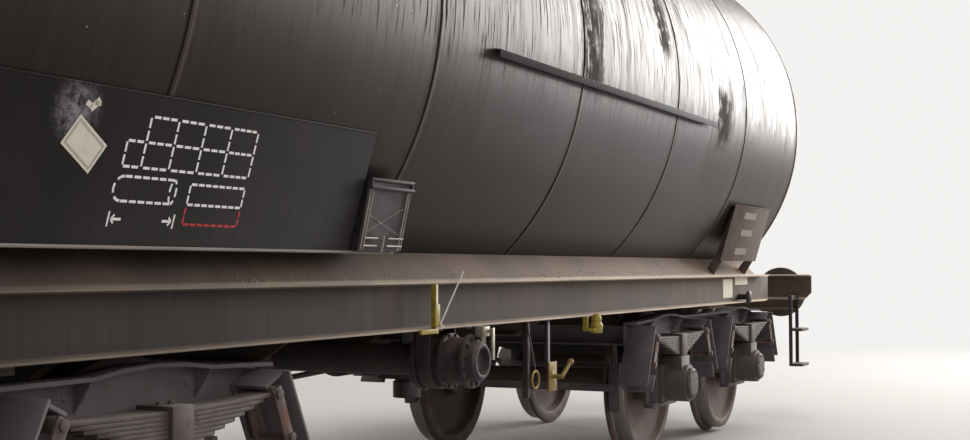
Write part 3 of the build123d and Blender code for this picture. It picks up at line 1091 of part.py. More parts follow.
def wagon_nodes():
    """Every node of the tank car and its solids."""
    hooks, couplings = draw_gear()
    nodes = {
        "tank": tank(), "saddle_plates": saddle_plates(), "sole_bars": sole_bars(), "headstocks": headstocks(),
        "end_sills": end_sills(), "end_cross_members": end_cross_members(), "body_bolsters": body_bolsters(),
        "cross_stays": cross_stays(),
        "centre_pivots": centre_pivots(), "buffer_housings": buffer_housings(), "buffer_heads": buffer_heads(),
        "draw_hooks": hooks, "screw_couplings": couplings, "brake_pipes": brake_pipes(),
        "drip_rails": drip_rails(), "inscription_boards": inscription_boards(), "document_frames": document_frames(),
        "end_boards": end_boards(), "outlet_pipes": outlet_pipes(), "outlet_drums": outlet_drums(),
        "outlet_cradles": outlet_cradles(), "outlet_valves": outlet_valves(), "air_reservoir": air_reservoir(),
        "brake_cylinder": brake_cylinder(), "brake_distributor": brake_distributor(), "brake_rods": brake_rods(),
        "release_gear": release_gear(), "hand_levers": hand_levers(), "corner_steps": corner_steps(),
        "rope_hooks": rope_hooks(), "end_platform": end_platform(), "ladder": ladder(),
        "top_walkway": top_walkway(), "manhole_neck": manhole_neck(), "manhole_lid": manhole_lid(),
        "top_valves": top_valves(),
    }
    for name, x in (("left", -PIVOT_X), ("right", PIVOT_X)):
        nodes.update(bogie_nodes(name, x))
        for place, side in (("outer", 1), ("inner", -1)):
            away = side if x > 0 else -side
            nodes.update(wheelset_nodes(f"{name}_{place}", x + away * WHEELBASE / 2))
    return nodes


os.makedirs("parts", exist_ok=True)
for node, solids in wagon_nodes().items():
    export_step(Compound(children=solids), f"parts/{node}.step")
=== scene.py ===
"""Looks of a bogie tank car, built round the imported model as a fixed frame.

Metres, +Z up, +X along the wagon. The near side is -Y. The boards, document frames, label plates and
drip rail of the far side are the near side's, turned half a turn about the wagon's middle. The outlets,
levers and steps are mirrored.
"""

import logging
import math
import random
from dataclasses import dataclass, field
from enum import Enum
from functools import partial

import bmesh
import bpy
from mathutils import Matrix, Vector, noise

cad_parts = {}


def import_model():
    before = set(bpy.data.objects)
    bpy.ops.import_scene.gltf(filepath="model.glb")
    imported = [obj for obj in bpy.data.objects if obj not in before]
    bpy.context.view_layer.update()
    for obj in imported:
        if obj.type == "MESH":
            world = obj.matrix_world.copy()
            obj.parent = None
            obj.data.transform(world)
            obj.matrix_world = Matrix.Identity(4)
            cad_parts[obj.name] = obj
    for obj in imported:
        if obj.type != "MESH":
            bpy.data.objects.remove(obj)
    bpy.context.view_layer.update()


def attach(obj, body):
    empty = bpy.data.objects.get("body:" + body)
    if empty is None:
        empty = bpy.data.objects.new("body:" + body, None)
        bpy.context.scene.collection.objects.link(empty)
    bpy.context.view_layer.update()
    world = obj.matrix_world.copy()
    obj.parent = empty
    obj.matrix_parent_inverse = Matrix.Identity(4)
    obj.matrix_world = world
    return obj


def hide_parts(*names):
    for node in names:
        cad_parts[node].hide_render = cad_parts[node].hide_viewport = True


LOG = logging.getLogger("tank_car")

BMesh = bmesh.types.BMesh
BMVert = bmesh.types.BMVert
Pair = tuple[float, float]
Triple = tuple[float, float, float]
Point = Vector | Triple
Spot = Vector | Pair

MM = 0.001
WELD_DISTANCE = 0.02 * MM
STENCIL_LIFT = 0.6 * MM
HALF_TURN = Matrix.Rotation(math.pi, 4, "Z")
BOTH = (-1, 1)

# The tank and its plate courses
TANK_RADIUS = 1.425
TANK_Z = 2.415
COURSE_LENGTH = 1.52
COURSES_HALF = 3
BARREL_HALF = COURSE_LENGTH * COURSES_HALF
TANK_CROWN_Z = TANK_Z + TANK_RADIUS
DRIP_X = (-1.037, 2.214)
DRIP_Z = TANK_Z - 0.12 * TANK_RADIUS

# The bogies and their wheels
PIVOT_X = 3.58
HALF_WHEELBASE = 0.9
AXLE_Z = 0.53
TREAD_RADIUS = 0.5
JOURNAL_Y = 1.0

# The underframe
SOLE_TOP_Z = 1.253
SOLE_BOTTOM_Z = 1.043
SOLE_EDGE_Y = 1.115
SOLE_WEB_FACE_Y = 1.048
HALF_BODY = 5.0
SADDLE_RISE = 0.945

# Settings of the shader nodes that come up often
COLOURS = {"data_type": "RGBA"}
SMOOTH = {"interpolation_type": "SMOOTHSTEP"}
MULTIPLY = {"operation": "MULTIPLY"}
MAXIMUM = {"operation": "MAXIMUM"}
ADD = {"operation": "ADD"}
SUBTRACT = {"operation": "SUBTRACT"}
ABSOLUTE = {"operation": "ABSOLUTE"}
FALLING = {"To_Min": 1.0, "To_Max": 0.0}


class Side(Enum):
    """Long sides of the wagon."""

    NEAR = "near"
    FAR = "far"

    @property
    def turn(self) -> Matrix:
        """Turn that brings a near side's piece to this side."""
        return HALF_TURN if self is Side.FAR else Matrix.Identity(4)


def linear(colour: str) -> tuple[float, float, float, float]:
    """Turns an sRGB hex colour into linear red, green, blue and alpha.

    Args:
        colour: Six hex digits after a hash, such as "#8a7060".

    Returns:
        The four linear values.
    """
    values = [int(colour[k:k + 2], 16) / 255 for k in (1, 3, 5)]
    red, green, blue = [v / 12.92 if v <= 0.04045 else ((v + 0.055) / 1.055) ** 2.4 for v in values]
    return red, green, blue, 1.0


def add_node(tree: bpy.types.NodeTree, kind: str, settings: dict | None = None, **inputs) -> bpy.types.Node:
    """Adds a shader node with its settings, values and links.

    Args:
        tree: The node tree of a material or world.
        kind: The node's type without its "ShaderNode" prefix.
        settings: Properties of the node itself.
        **inputs: Values, output sockets or nodes by input identifier, with underscores for spaces. A
            node stands for its first output in use.

    Returns:
        The new node.
    """
    node = tree.nodes.new("ShaderNode" + kind)
    for name, value in (settings or {}).items():
        setattr(node, name, value)
    sockets = {socket.identifier.replace(" ", "_"): socket for socket in node.inputs}
    for name, value in inputs.items():
        if isinstance(value, bpy.types.Node):
            value = next(socket for socket in value.outputs if socket.enabled)
        if isinstance(value, bpy.types.NodeSocket):
            tree.links.new(value, sockets[name])
        else:
            sockets[name].default_value = value
    return node


def new_material(name: str) -> tuple[bpy.types.Material, partial]:
    """Makes an empty material.

    Args:
        name: The material's name.

    Returns:
        The material, and add_node for its node tree.
    """
    material = bpy.data.materials.new(name)
    material.use_nodes = True
    material.node_tree.nodes.clear()
    return material, partial(add_node, material.node_tree)


@dataclass(frozen=True)
class WeatheredSteel:
    """Painted or bare steel under dust, soot and rust, as on a wagon that is never washed.

    The base coat shows on vertical faces, pale dust lies on every face that looks up, and rust
    comes through in patches. Lengths are in millimetres, and run_size is a rain run's width and
    length. Drift scales the dust towards the wagon's left and right end, partly as dust and partly
    as painted light that follows the lamps. Ledges are heights in metres along which a pale line is
    painted, partly dust and partly a painted highlight on the edge, brighter towards the right end.
    The smudge is a chalky spot as (x, z, radius) in metres.
    """

    name: str
    base: str
    patch: str
    dust: str = "#8d7a69"
    rust: str = "#5a3521"
    metallic: float = 0.0
    ior: float = 1.5
    roughness: float = 0.62
    dusty_roughness: float = 0.92
    patch_size: float = 260.0
    rust_size: float = 70.0
    rust_cover: float = 0.25
    dust_cover: float = 0.8
    film: float = 0.2
    grit: float = 5.0
    bump: float = 0.5
    run_size: Pair = (25.0, 416.67)
    streak: float = 0.0
    specular: float = 0.5
    lying: Pair = (0.25, 0.9)
    dust_and_light_drift: Pair = (1.0, 1.0)
    dust_and_highlight_ledges: tuple[float, ...] = ()
    ledge_dust_and_highlight: str = "#d6c3b0"
    smudge: Triple | None = None
    chalk: str = "#a5a1a8"
    chalk_grain: float = 26.316

    def build(self) -> bpy.types.Material:
        """Makes the material.

        Returns:
            The finished material.
        """
        material, add = new_material(self.name)
        place = add("TexCoord")
        where = place.outputs["Object"]
        axes = add("SeparateXYZ", Vector=where)
        x, z = axes.outputs["X"], axes.outputs["Z"]
        patches = add("TexNoise", Vector=where, Scale=1000 / self.patch_size, Detail=4.0)
        flakes = add("TexNoise", Vector=where, Scale=1000 / self.rust_size, Detail=9.0, Roughness=0.68)
        grain = add("TexNoise", Vector=where, Scale=1000 / self.grit, Detail=3.0)
        width, length = self.run_size
        run = add("Mapping", Vector=where, Scale=(1000 / width, 1000 / length, 1000 / length))
        runs = add("TexNoise", Vector=run, Scale=1.0, Detail=6.0, Roughness=0.65)
        spread = add("MapRange", Value=patches, From_Min=0.35, From_Max=0.68)
        colour = add("Mix", COLOURS, Factor_Float=spread, A_Color=linear(self.base),
                     B_Color=linear(self.patch))
        # Rust
        edge = 0.72 - 0.34 * self.rust_cover
        rusty = add("MapRange", SMOOTH, Value=flakes, From_Min=edge - 0.07, From_Max=edge + 0.07,
                    To_Max=min(1.0, 3 * self.rust_cover))
        # Dust, which lies on what looks up and is washed into runs elsewhere; its share along the wagon is
        # partly painted light
        up = add("SeparateXYZ", Vector=place.outputs["Normal"])
        top = add("MapRange", SMOOTH, Value=up.outputs["Z"], From_Min=self.lying[0], From_Max=self.lying[1],
                  To_Min=self.film, To_Max=self.dust_cover)
        ragged = add("MapRange", Value=patches, From_Min=0.2, From_Max=0.6, To_Min=0.55)
        dust_and_light_drift = add("MapRange", Value=x, From_Min=-HALF_BODY, From_Max=HALF_BODY, To_Min=self.dust_and_light_drift[0],
                    To_Max=self.dust_and_light_drift[1])
        washed = add("MapRange", Value=runs, From_Min=0.3, From_Max=0.7, To_Min=1.0 - self.streak,
                     To_Max=1.0 + self.streak)
        dust = add("Math", MULTIPLY, Value=top, Value_001=ragged)
        dust = add("Math", MULTIPLY, Value=dust, Value_001=dust_and_light_drift)
        dust = add("Math", {**MULTIPLY, "use_clamp": True}, Value=dust, Value_001=washed)
        coats = [(rusty, self.rust), (dust, self.dust)]
        # Pale lines along the ledges: partly dust, partly a painted highlight on the edges that grows
        # brighter towards the right end
        for ledge in self.dust_and_highlight_ledges:
            off = add("Math", SUBTRACT, Value=z, Value_001=ledge)
            off = add("Math", ABSOLUTE, Value=off)
            line = add("MapRange", Value=off, From_Min=3 * MM, From_Max=14 * MM, To_Min=0.95, To_Max=0.0)
            line = add("Math", MULTIPLY, Value=line, Value_001=ragged)
            bright = add("MapRange", Value=x, From_Min=-4.0, From_Max=0.5, To_Min=0.1)
            line = add("Math", MULTIPLY, Value=line, Value_001=bright)
            coats.append((line, self.ledge_dust_and_highlight))
        if self.smudge is not None:
            spot_x, spot_z, radius = self.smudge
            flat = add("VectorMath", MULTIPLY, Vector=where, Vector_001=(1.0, 0.0, 1.0))
            away = add("VectorMath", {"operation": "DISTANCE"}, Vector=flat,
                       Vector_001=(spot_x, 0.0, spot_z))
            near = add("MapRange", Value=away, From_Min=radius * 0.3, From_Max=radius, To_Min=0.75,
                       To_Max=0.0)
            cloud = add("TexNoise", Vector=where, Scale=1000 / self.chalk_grain, Detail=7.0, Roughness=0.72)
            cloud = add("MapRange", Value=cloud, From_Min=0.4, From_Max=0.64)
            coats.append((add("Math", MULTIPLY, Value=near, Value_001=cloud), self.chalk))
        for mask, coat in coats:
            colour = add("Mix", COLOURS, Factor_Float=mask, A_Color=colour, B_Color=linear(coat))
        # Surface
        dirt = add("Math", MAXIMUM, Value=dust, Value_001=rusty)
        rough = add("MapRange", Value=dirt, To_Min=self.roughness, To_Max=self.dusty_roughness)
        lumps = add("Math", {"operation": "MULTIPLY_ADD"}, Value=rusty, Value_001=0.8, Value_002=grain)
        bump = add("Bump", Strength=0.6, Distance=self.bump * MM, Height=lumps)
        shader = add("BsdfPrincipled", Base_Color=colour, Roughness=rough, Normal=bump,
                     Metallic=self.metallic, IOR=self.ior, Specular_IOR_Level=self.specular)
        add("OutputMaterial", Surface=shader)
        return material


@dataclass(frozen=True)
class TankPaint:
    """Semi-gloss black tank paint that rain and dust have striped from the crown down.

    Above the drip rail the stripes end on the rail; their film grows thicker towards the right end
    and cream above the rail, partly as dust and partly as a painted highlight. Below it the paint is
    sheltered and smooth, under a painted reflection that lightens towards the rail and the right. A
    painted highlight runs beside each seam, and some of the pale specks are painted glints.
    Heavy oil has run down in three places, each as (x, half width, lowest, highest), and thinner
    drips hang above the rail. Lengths are in metres.
    """

    base: str = "#100e12"
    warm: str = "#1b171a"
    dust: str = "#7d6858"
    cream_dust_and_highlight: str = "#b5a08c"
    painted_reflection: str = "#7d7278"
    oil: str = "#2a1c14"
    soot: str = "#0b0808"
    thickness: float = 0.62
    oil_runs: tuple[tuple[float, float, float, float], ...] = (
        (0.143, 0.135, 2.14, 3.84), (1.331, 0.12, 2.5, 3.84), (2.52, 0.2, 2.05, 2.53))
    streak_size: Pair = (0.022, 0.90909)
    band_size: Pair = (0.181818, 1.25)
    drip_size: Pair = (0.0111111, 0.25)
    patch_size: float = 0.9
    mottle_size: float = 0.0769231
    speck_spacing: float = 0.0625
    grain_size: float = 0.00416667
    roughness: float = 0.36
    ior: float = 1.36
    specular: float = 0.33
    tint: str = "#ffdcbc"

    def build(self) -> bpy.types.Material:
        """Makes the material.

        Returns:
            The finished material.
        """
        material, add = new_material("striped_tank_paint")
        where = add("TexCoord").outputs["Object"]
        axes = add("SeparateXYZ", Vector=where)
        x, z = axes.outputs["X"], axes.outputs["Z"]
        fine, broad, drips = (
            add("TexNoise", Scale=1.0, Detail=detail, Roughness=roughness,
                Vector=add("Mapping", Vector=where, Scale=(1 / size[0], 1 / size[1], 1 / size[1])))
            for size, detail, roughness in ((self.streak_size, 5.0, 0.62), (self.band_size, 4.0, 0.5),
                                            (self.drip_size, 3.0, 0.6)))
        patches = add("TexNoise", Vector=where, Scale=1 / self.patch_size, Detail=5.0)
        mottle = add("TexNoise", Vector=where, Scale=1 / self.mottle_size, Detail=6.0, Roughness=0.65)
        grain = add("TexNoise", Vector=where, Scale=1 / self.grain_size, Detail=2.0)
        warmer = add("MapRange", Value=patches, From_Min=0.3, From_Max=0.7)
        colour = add("Mix", COLOURS, Factor_Float=warmer, A_Color=linear(self.base),
                     B_Color=linear(self.warm))

        # Area that the drip rail shelters
        left, right = DRIP_X
        past_left = add("MapRange", Value=x, From_Min=left - 0.02, From_Max=left + 0.06)
        past_right = add("MapRange", Value=x, From_Min=right - 0.05, From_Max=right + 0.04, **FALLING)
        below = add("MapRange", Value=z, From_Min=DRIP_Z - 0.02, From_Max=DRIP_Z + 0.02, **FALLING)
        sheltered = add("Math", MULTIPLY, Value=past_left, Value_001=past_right)
        sheltered = add("Math", MULTIPLY, Value=sheltered, Value_001=below)

        # Film of dust and painted highlight: fine stripes in broad bands, thin below the rail and towards
        # the left end, thicker towards the right where it stands partly for the highlight
        film = add("MapRange", Value=fine, From_Min=0.38, From_Max=0.8)
        bands = add("MapRange", Value=broad, From_Min=0.32, From_Max=0.66, To_Min=0.2,
                    To_Max=self.thickness)
        open_air = add("MapRange", Value=sheltered, To_Min=1.0, To_Max=0.16)
        height = add("MapRange", Value=z, From_Min=1.27, From_Max=3.08, To_Min=0.2, To_Max=0.9)
        beyond = add("MapRange", Value=x, From_Min=right, From_Max=right + 0.3, To_Max=0.8)
        height = add("Math", MAXIMUM, Value=height, Value_001=beyond)
        dust_and_light_drift = add("MapRange", Value=x, From_Min=-3.0, From_Max=0.6, To_Min=0.3)
        for share in (bands, open_air, height, dust_and_light_drift):
            film = add("Math", MULTIPLY, Value=film, Value_001=share)
        # Cream above the rail, partly dust and partly a painted highlight
        pale = add("MapRange", Value=z, From_Min=DRIP_Z - 0.2, From_Max=DRIP_Z + 0.2)
        dust = add("Mix", COLOURS, Factor_Float=pale, A_Color=linear(self.dust), B_Color=linear(self.cream_dust_and_highlight))

        # Painted reflection on the sheltered paint, lighter towards the drip rail and away from its left
        # end
        reflection_share = add("MapRange", Value=z, From_Min=1.75, From_Max=DRIP_Z, To_Max=0.6)
        from_left = add("MapRange", SMOOTH, Value=x, From_Min=left, From_Max=left + 0.8, To_Min=0.45)
        clouded = add("MapRange", Value=patches, From_Min=0.3, From_Max=0.7, To_Min=0.5)
        for share in (sheltered, from_left, clouded):
            reflection_share = add("Math", MULTIPLY, Value=reflection_share, Value_001=share)

        # Oil runs with ragged edges, and thin drips
        ragged = add("MapRange", Value=fine, From_Min=0.3, From_Max=0.7, To_Min=-0.08, To_Max=0.08)
        sway = add("MapRange", Value=mottle, From_Min=0.3, From_Max=0.7, To_Min=-0.07, To_Max=0.07)
        wander = add("Math", ADD, Value=x, Value_001=ragged)
        wander = add("Math", ADD, Value=wander, Value_001=sway)
        oil = None
        for centre, half, low, high in self.oil_runs:
            off = add("Math", SUBTRACT, Value=wander, Value_001=centre)
            off = add("Math", ABSOLUTE, Value=off)
            spot = add("MapRange", Value=off, From_Min=half * 0.5, From_Max=half, **FALLING)
            from_low = add("MapRange", Value=z, From_Min=low, From_Max=low + 0.12)
            to_high = add("MapRange", Value=z, From_Min=high - 0.12, From_Max=high, **FALLING)
            for share in (from_low, to_high):
                spot = add("Math", MULTIPLY, Value=spot, Value_001=share)
            oil = spot if oil is None else add("Math", MAXIMUM, Value=oil, Value_001=spot)
        streaked = add("MapRange", Value=fine, From_Min=0.3, From_Max=0.62, To_Min=0.35)
        broken = add("MapRange", Value=mottle, From_Min=0.36, From_Max=0.56, To_Min=0.3)
        for share in (streaked, broken):
            oil = add("Math", MULTIPLY, Value=oil, Value_001=share)
        drips = add("MapRange", Value=drips, From_Min=0.56, From_Max=0.66, To_Max=0.8)
        above = add("MapRange", Value=z, From_Min=DRIP_Z - 0.3, From_Max=DRIP_Z + 0.1)
        drips = add("Math", MULTIPLY, Value=drips, Value_001=above)
        oil = add("Math", MAXIMUM, Value=oil, Value_001=drips)

        # Soot in the seams between the courses, and a painted highlight as a pale edge beside each
        course = add("Math", {"operation": "PINGPONG"}, Value=x, Value_001=COURSE_LENGTH / 2)
        seam = add("MapRange", SMOOTH, Value=course, From_Min=2 * MM, From_Max=8 * MM, To_Min=0.55,
                   To_Max=0.0)
        along = add("Math", {"operation": "FLOORED_MODULO"}, Value=x, Value_001=COURSE_LENGTH)
        lit = add("MapRange", Value=along, From_Min=12 * MM, From_Max=18 * MM, To_Max=0.4)
        fade = add("MapRange", Value=along, From_Min=18 * MM, From_Max=34 * MM, **FALLING)
        lit = add("Math", MULTIPLY, Value=lit, Value_001=fade)

        # Pale specks, partly splashed dust and partly painted glints, of which about a quarter show
        specks = add("TexVoronoi", Vector=where, Scale=1 / self.speck_spacing)
        near = add("MapRange", Value=specks, From_Min=0.035, From_Max=0.06, To_Min=0.6, To_Max=0.0)
        chosen = add("SeparateXYZ", Vector=specks.outputs["Color"])
        chosen = add("Math", {"operation": "GREATER_THAN"}, Value=chosen, Value_001=0.72)
        near = add("Math", MULTIPLY, Value=near, Value_001=chosen)

        for mask, coat in ((film, dust), (reflection_share, linear(self.painted_reflection)), (oil, linear(self.oil)),
                           (seam, linear(self.soot)), (lit, linear(self.dust)), (near, linear(self.cream_dust_and_highlight))):
            colour = add("Mix", COLOURS, Factor_Float=mask, A_Color=colour, B_Color=coat)
        dull = add("Math", MAXIMUM, Value=film, Value_001=oil)
        dull = add("Math", MAXIMUM, Value=dull, Value_001=seam)
        rough = add("MapRange", Value=dull, From_Max=0.6, To_Min=self.roughness, To_Max=0.8)
        bump = add("Bump", Strength=0.25, Distance=0.3 * MM, Height=grain)
        sheen = add("MapRange", Value=oil, To_Min=self.specular, To_Max=0.06)
        shader = add("BsdfPrincipled", Base_Color=colour, Roughness=rough, Normal=bump, IOR=self.ior,
                     Specular_IOR_Level=sheen, Specular_Tint=linear(self.tint))
        add("OutputMaterial", Surface=shader)
        return material


@dataclass(frozen=True)
class StencilPaint:
    """Sprayed or printed marking, worn thin in places so that the ground shows through."""

    name: str
    colour: str
    ground: str = "#2a2425"
    wear: float = 0.4
    wear_size: float = 14.0

    def build(self) -> bpy.types.Material:
        """Makes the material, with its wear in patches of wear_size millimetres.

        Returns:
            The finished material.
        """
        material, add = new_material(self.name)
        where = add("TexCoord").outputs["Object"]
        worn = add("TexNoise", Vector=where, Scale=1000 / self.wear_size, Detail=6.0, Roughness=0.7)
        thin = add("MapRange", Value=worn, From_Min=0.45, From_Max=0.75, To_Max=self.wear)
        colour = add("Mix", COLOURS, Factor_Float=thin, A_Color=linear(self.colour),
                     B_Color=linear(self.ground))
        bump = add("Bump", Strength=0.2, Distance=0.2 * MM, Height=worn)
        shader = add("BsdfPrincipled", Base_Color=colour, Roughness=0.72, Normal=bump, IOR=1.46)
        add("OutputMaterial", Surface=shader)
        return material


class Finish(Enum):
    """Every finish of the wagon, each named for what the real one is."""

    # Soft broad highlights under pale rain stripes, whose cream above the rail and thicker film to the
    # right are partly painted highlight, over a painted reflection below the drip rail
    TANK = TankPaint()
    # Brush-painted steel, nearly black at the left end and pale at the right, partly dust and partly
    # painted light, with painted highlight lines along its top and bottom edges
    FRAME = WeatheredSteel("dusty_underframe_paint", "#151214", "#221c1d", dust="#95806f", rust="#4a3025",
                           patch_size=700, rust_cover=0.1, dust_cover=0.6, film=0.2, dust_and_light_drift=(0.1, 2.0),
                           lying=(0.7, 1.0), streak=0.35, roughness=0.65, specular=0.2,
                           dust_and_highlight_ledges=(SOLE_TOP_Z - 4 * MM, SOLE_BOTTOM_Z + 2 * MM))
    # The same paint on a slope that catches the dust, paler to the right and along its foot with painted
    # light as well as dust
    SADDLE = WeatheredSteel("dusty_saddle_paint", "#211d1e", "#332a29", dust="#a48d7c", rust="#4a3025",
                            patch_size=500, rust_cover=0.1, film=0.55, dust_cover=0.55, dust_and_light_drift=(0.15, 1.75),
                            streak=0.2, roughness=0.6, specular=0.3, bump=0.8, dust_and_highlight_ledges=(SOLE_TOP_Z,))
    # Matt black board paint, rubbed and smudged
    BOARD = WeatheredSteel("scuffed_board_paint", "#1e1c1f", "#242124", dust="#7b6a5f", patch_size=300,
                           ior=1.34, rust_cover=0.05, film=0.05, streak=0.4, roughness=0.7, bump=0.3,
                           specular=0.18, smudge=(-3.4, 1.748, 0.105))
    # Dark rolled strip, dull with caked dirt
    RAIL = WeatheredSteel("dirty_drip_rail", "#1f1a1d", "#2c2427", dust="#5b4e4b", patch_size=90,
                          rust_cover=0.2, film=0.08, dust_cover=0.5, roughness=0.75, specular=0.25)
    # Sheet under so much dust that it looks grey-brown
    END_BOARD = WeatheredSteel("dusty_end_board", "#4a3f40", "#5a4d4a", dust="#8d7a6c", patch_size=140,
                               rust_cover=0.2, film=0.3, roughness=0.8, bump=0.3, specular=0.25)
    # Galvanised sheet gone dark
    CLIP = WeatheredSteel("dark_sheet_frame", "#2e2a2d", "#403a3d", dust="#7b6f6b", patch_size=60,
                          rust_cover=0.1, film=0.12, roughness=0.6, specular=0.3)
    # Galvanised sheet with a dull metal sheen
    ZINC = WeatheredSteel("dull_zinc_sheet", "#5b5656", "#3e393b", dust="#877566", metallic=0.6,
                          roughness=0.5, patch_size=60, rust_cover=0.1, film=0.25)
    # Black steel wet with grease, so it glints where dust is thin
    GEAR = WeatheredSteel("greasy_black_steel", "#272226", "#362e30", dust="#6d5b54", rust="#55392c",
                          roughness=0.45, patch_size=110, rust_size=60, rust_cover=0.3, dust_cover=0.6,
                          film=0.08, specular=0.35, bump=0.9)
    # Pressed and rolled steel, rust under a violet-grey film of brake dust, laid heavier on the left bogie
    # partly as painted light
    BOGIE = WeatheredSteel("rusty_bogie_steel", "#3f383c", "#4b4144", dust="#94888a", rust="#553930",
                           patch_size=180, rust_cover=0.25, film=0.22, dust_and_light_drift=(1.7, 0.5), specular=0.35,
                           bump=0.8)
    # Forged links with fresh orange rust
    SHACKLE = WeatheredSteel("orange_rusted_shackle", "#3e3030", "#4a3836", dust="#776b6b", rust="#6f4432",
                             patch_size=90, rust_size=110, rust_cover=0.45, film=0.1)
    # Rolled spring steel, brown and rough between the leaves
    SPRING = WeatheredSteel("brown_spring_leaves", "#3a2e2f", "#483838", dust="#8f8279", rust="#553a30",
                            patch_size=90, rust_size=40, rust_cover=0.35, film=0.04, lying=(0.6, 0.95),
                            grit=3.0)
    # Sand-cast steel with a coarse skin, dark with oil
    CASTING = WeatheredSteel("oily_rough_casting", "#2a2424", "#3b312f", dust="#6d5d52", rust="#4f3526",
                             roughness=0.5, grit=7.0, bump=1.0, rust_cover=0.3, dust_cover=0.6)
    # Forged wheel steel under even brown rust
    WHEEL = WeatheredSteel("brown_wheel_steel", "#43332d", "#54413a", dust="#75655c", rust="#63402d",
                           metallic=0.2, roughness=0.55, rust_cover=0.4, film=0.15)
    # Steel that the rail keeps polished
    TREAD = WeatheredSteel("bright_running_tread", "#8c8784", "#75706e", dust="#857a72", metallic=1.0,
                           roughness=0.28, rust_cover=0.05, dust_cover=0.15, film=0.02, bump=0.1)
    # Forged steel rubbed bare and greased where it bears
    WORN = WeatheredSteel("greasy_worn_steel", "#332c2b", "#463c38", dust="#6e5f54", metallic=0.4,
                          roughness=0.42, rust_cover=0.2, dust_cover=0.5, film=0.08)
    # Plated valve bodies, silvery under yellow dust
    VALVE = WeatheredSteel("dull_silver_valve", "#b3aea2", "#8f8779", dust="#a08f77", metallic=0.7,
                           roughness=0.42, rust_cover=0.12, patch_size=30, film=0.15)
    # Cast brass gone brown
    BRASS = WeatheredSteel("tarnished_brass", "#8a7136", "#6d572c", dust="#948058", rust="#4b3a20",
                           metallic=0.6, roughness=0.45, patch_size=40, rust_cover=0.25, film=0.12)
    # Signal paint on levers, chipped to the steel
    YELLOW = WeatheredSteel("chipped_yellow_paint", "#a08c28", "#7f6f2a", dust="#9a8a58", rust="#4c3a20",
                            roughness=0.45, patch_size=30, rust_size=16, rust_cover=0.18, dust_cover=0.4,
                            film=0.05)
    # Sprayed chalky white and red lines, thin enough for the board to show
    WHITE_STENCIL = StencilPaint("worn_white_stencil", "#ece9ea", wear=0.3)
    RED_STENCIL = StencilPaint("worn_red_stencil", "#b02a2c", wear=0.25)
    # Printed card, yellowed
    PLACARD = StencilPaint("cream_card", "#dcd2c4", ground="#8b7b66", wear=0.3, wear_size=30)
    PLACARD_LINE = StencilPaint("grey_printed_line", "#6d6a66", ground="#b8ad98", wear=0.3)
    # Old label paint, almost the board's own colour
    FADED = StencilPaint("faded_cream_patch", "#8b7e76", ground="#6a5c56", wear=0.9, wear_size=22)
    # Round bar under thick pale dust
    DUSTY_ROD = WeatheredSteel("dusty_foot_rod", "#5d5552", "#6f6560", dust="#a3968b", patch_size=200,
                               rust_cover=0.15, roughness=0.7, film=0.4)
    # Drawn wire, the palest line on the frames
    PALE_WIRE = WeatheredSteel("pale_galvanised_wire", "#a79a96", "#857a79", dust="#b5a594", metallic=0.3,
                               patch_size=40, rust_cover=0.08, roughness=0.5, film=0.1)
    # Nylon strap, nearly white
    TIE = StencilPaint("white_plastic_tie", "#d9d6d6", ground="#a49c98", wear=0.2)
    # Crumbs that dry out pale
    CRUST = WeatheredSteel("dried_crust", "#3a302c", "#b5a698", dust="#cbbbab", patch_size=30,
                           rust_cover=0.1, roughness=0.9, film=0.3)


def add_box(mesh: BMesh, low: Triple, high: Triple) -> None:
    """Adds a box between two corners.

    Args:
        mesh: The mesh that takes it.
        low: Its lowest corner.
        high: Its highest corner.
    """
    first, last = Vector(low), Vector(high)
    place = Matrix.Translation((first + last) / 2) @ Matrix.Diagonal((*(last - first), 1.0))
    bmesh.ops.create_cube(mesh, size=1.0, matrix=place)


def add_bar(mesh: BMesh, start: Point, end: Point, radius: float, sides: int = 12,
            end_radius: float | None = None) -> None:
    """Adds a round or many-sided bar between two points.

    Args:
        mesh: The mesh that takes it.
        start: The middle of its first end.
        end: The middle of its last end.
        radius: Its radius, or the first end's where end_radius is given.
        sides: How many sides it has.
        end_radius: The last end's radius.
    """
    first, last = Vector(start), Vector(end)
    path = last - first
    turn = path.to_track_quat("Z", "Y").to_matrix().to_4x4()
    bmesh.ops.create_cone(mesh, cap_ends=True, segments=sides, radius1=radius,
                          radius2=radius if end_radius is None else end_radius, depth=path.length,
                          matrix=Matrix.Translation((first + last) / 2) @ turn)


def add_bolt(mesh: BMesh, seat: Point, out: Point, across: float) -> None:
    """Adds a hexagon nut with its bolt's end, standing on a face.

    Args:
        mesh: The mesh that takes it.
        seat: The point on the face.
        out: The way that the face looks.
        across: The nut's width over its flats.
    """
    way, base = Vector(out).normalized(), Vector(seat)
    add_bar(mesh, base, base + way * across * 0.42, across * 0.577, 6)
    add_bar(mesh, base, base + way * across * 0.62, across * 0.27, 8)


def add_rivet(mesh: BMesh, seat: Point, out: Point, radius: float) -> None:
    """Adds a low domed rivet head on a face.

    Args:
        mesh: The mesh that takes it.
        seat: The point on the face.
        out: The way that the face looks.
        radius: The head's radius.
    """
    way, base = Vector(out).normalized(), Vector(seat)
    add_bar(mesh, base, base + way * radius * 0.35, radius, 10, radius * 0.9)
    add_bar(mesh, base + way * radius * 0.35, base + way * radius * 0.62, radius * 0.9, 10, radius * 0.42)


def ring_points(count: int, radius: float) -> list[Pair]:
    """Points spread evenly round a circle, the first half a step on from its start."""
    turns = [2 * math.pi * (k + 0.5) / count for k in range(count)]
    return [(radius * math.cos(turn), radius * math.sin(turn)) for turn in turns]


def add_quad(mesh: BMesh, corners: list[Point]) -> None:
    """Adds a flat four-cornered face that looks to the near side.

    Args:
        mesh: The mesh that takes it.
        corners: Its corners, in turn.
    """
    face = mesh.faces.new([mesh.verts.new(corner) for corner in corners])
    face.normal_update()
    if face.normal.y > 0:
        face.normal_flip()


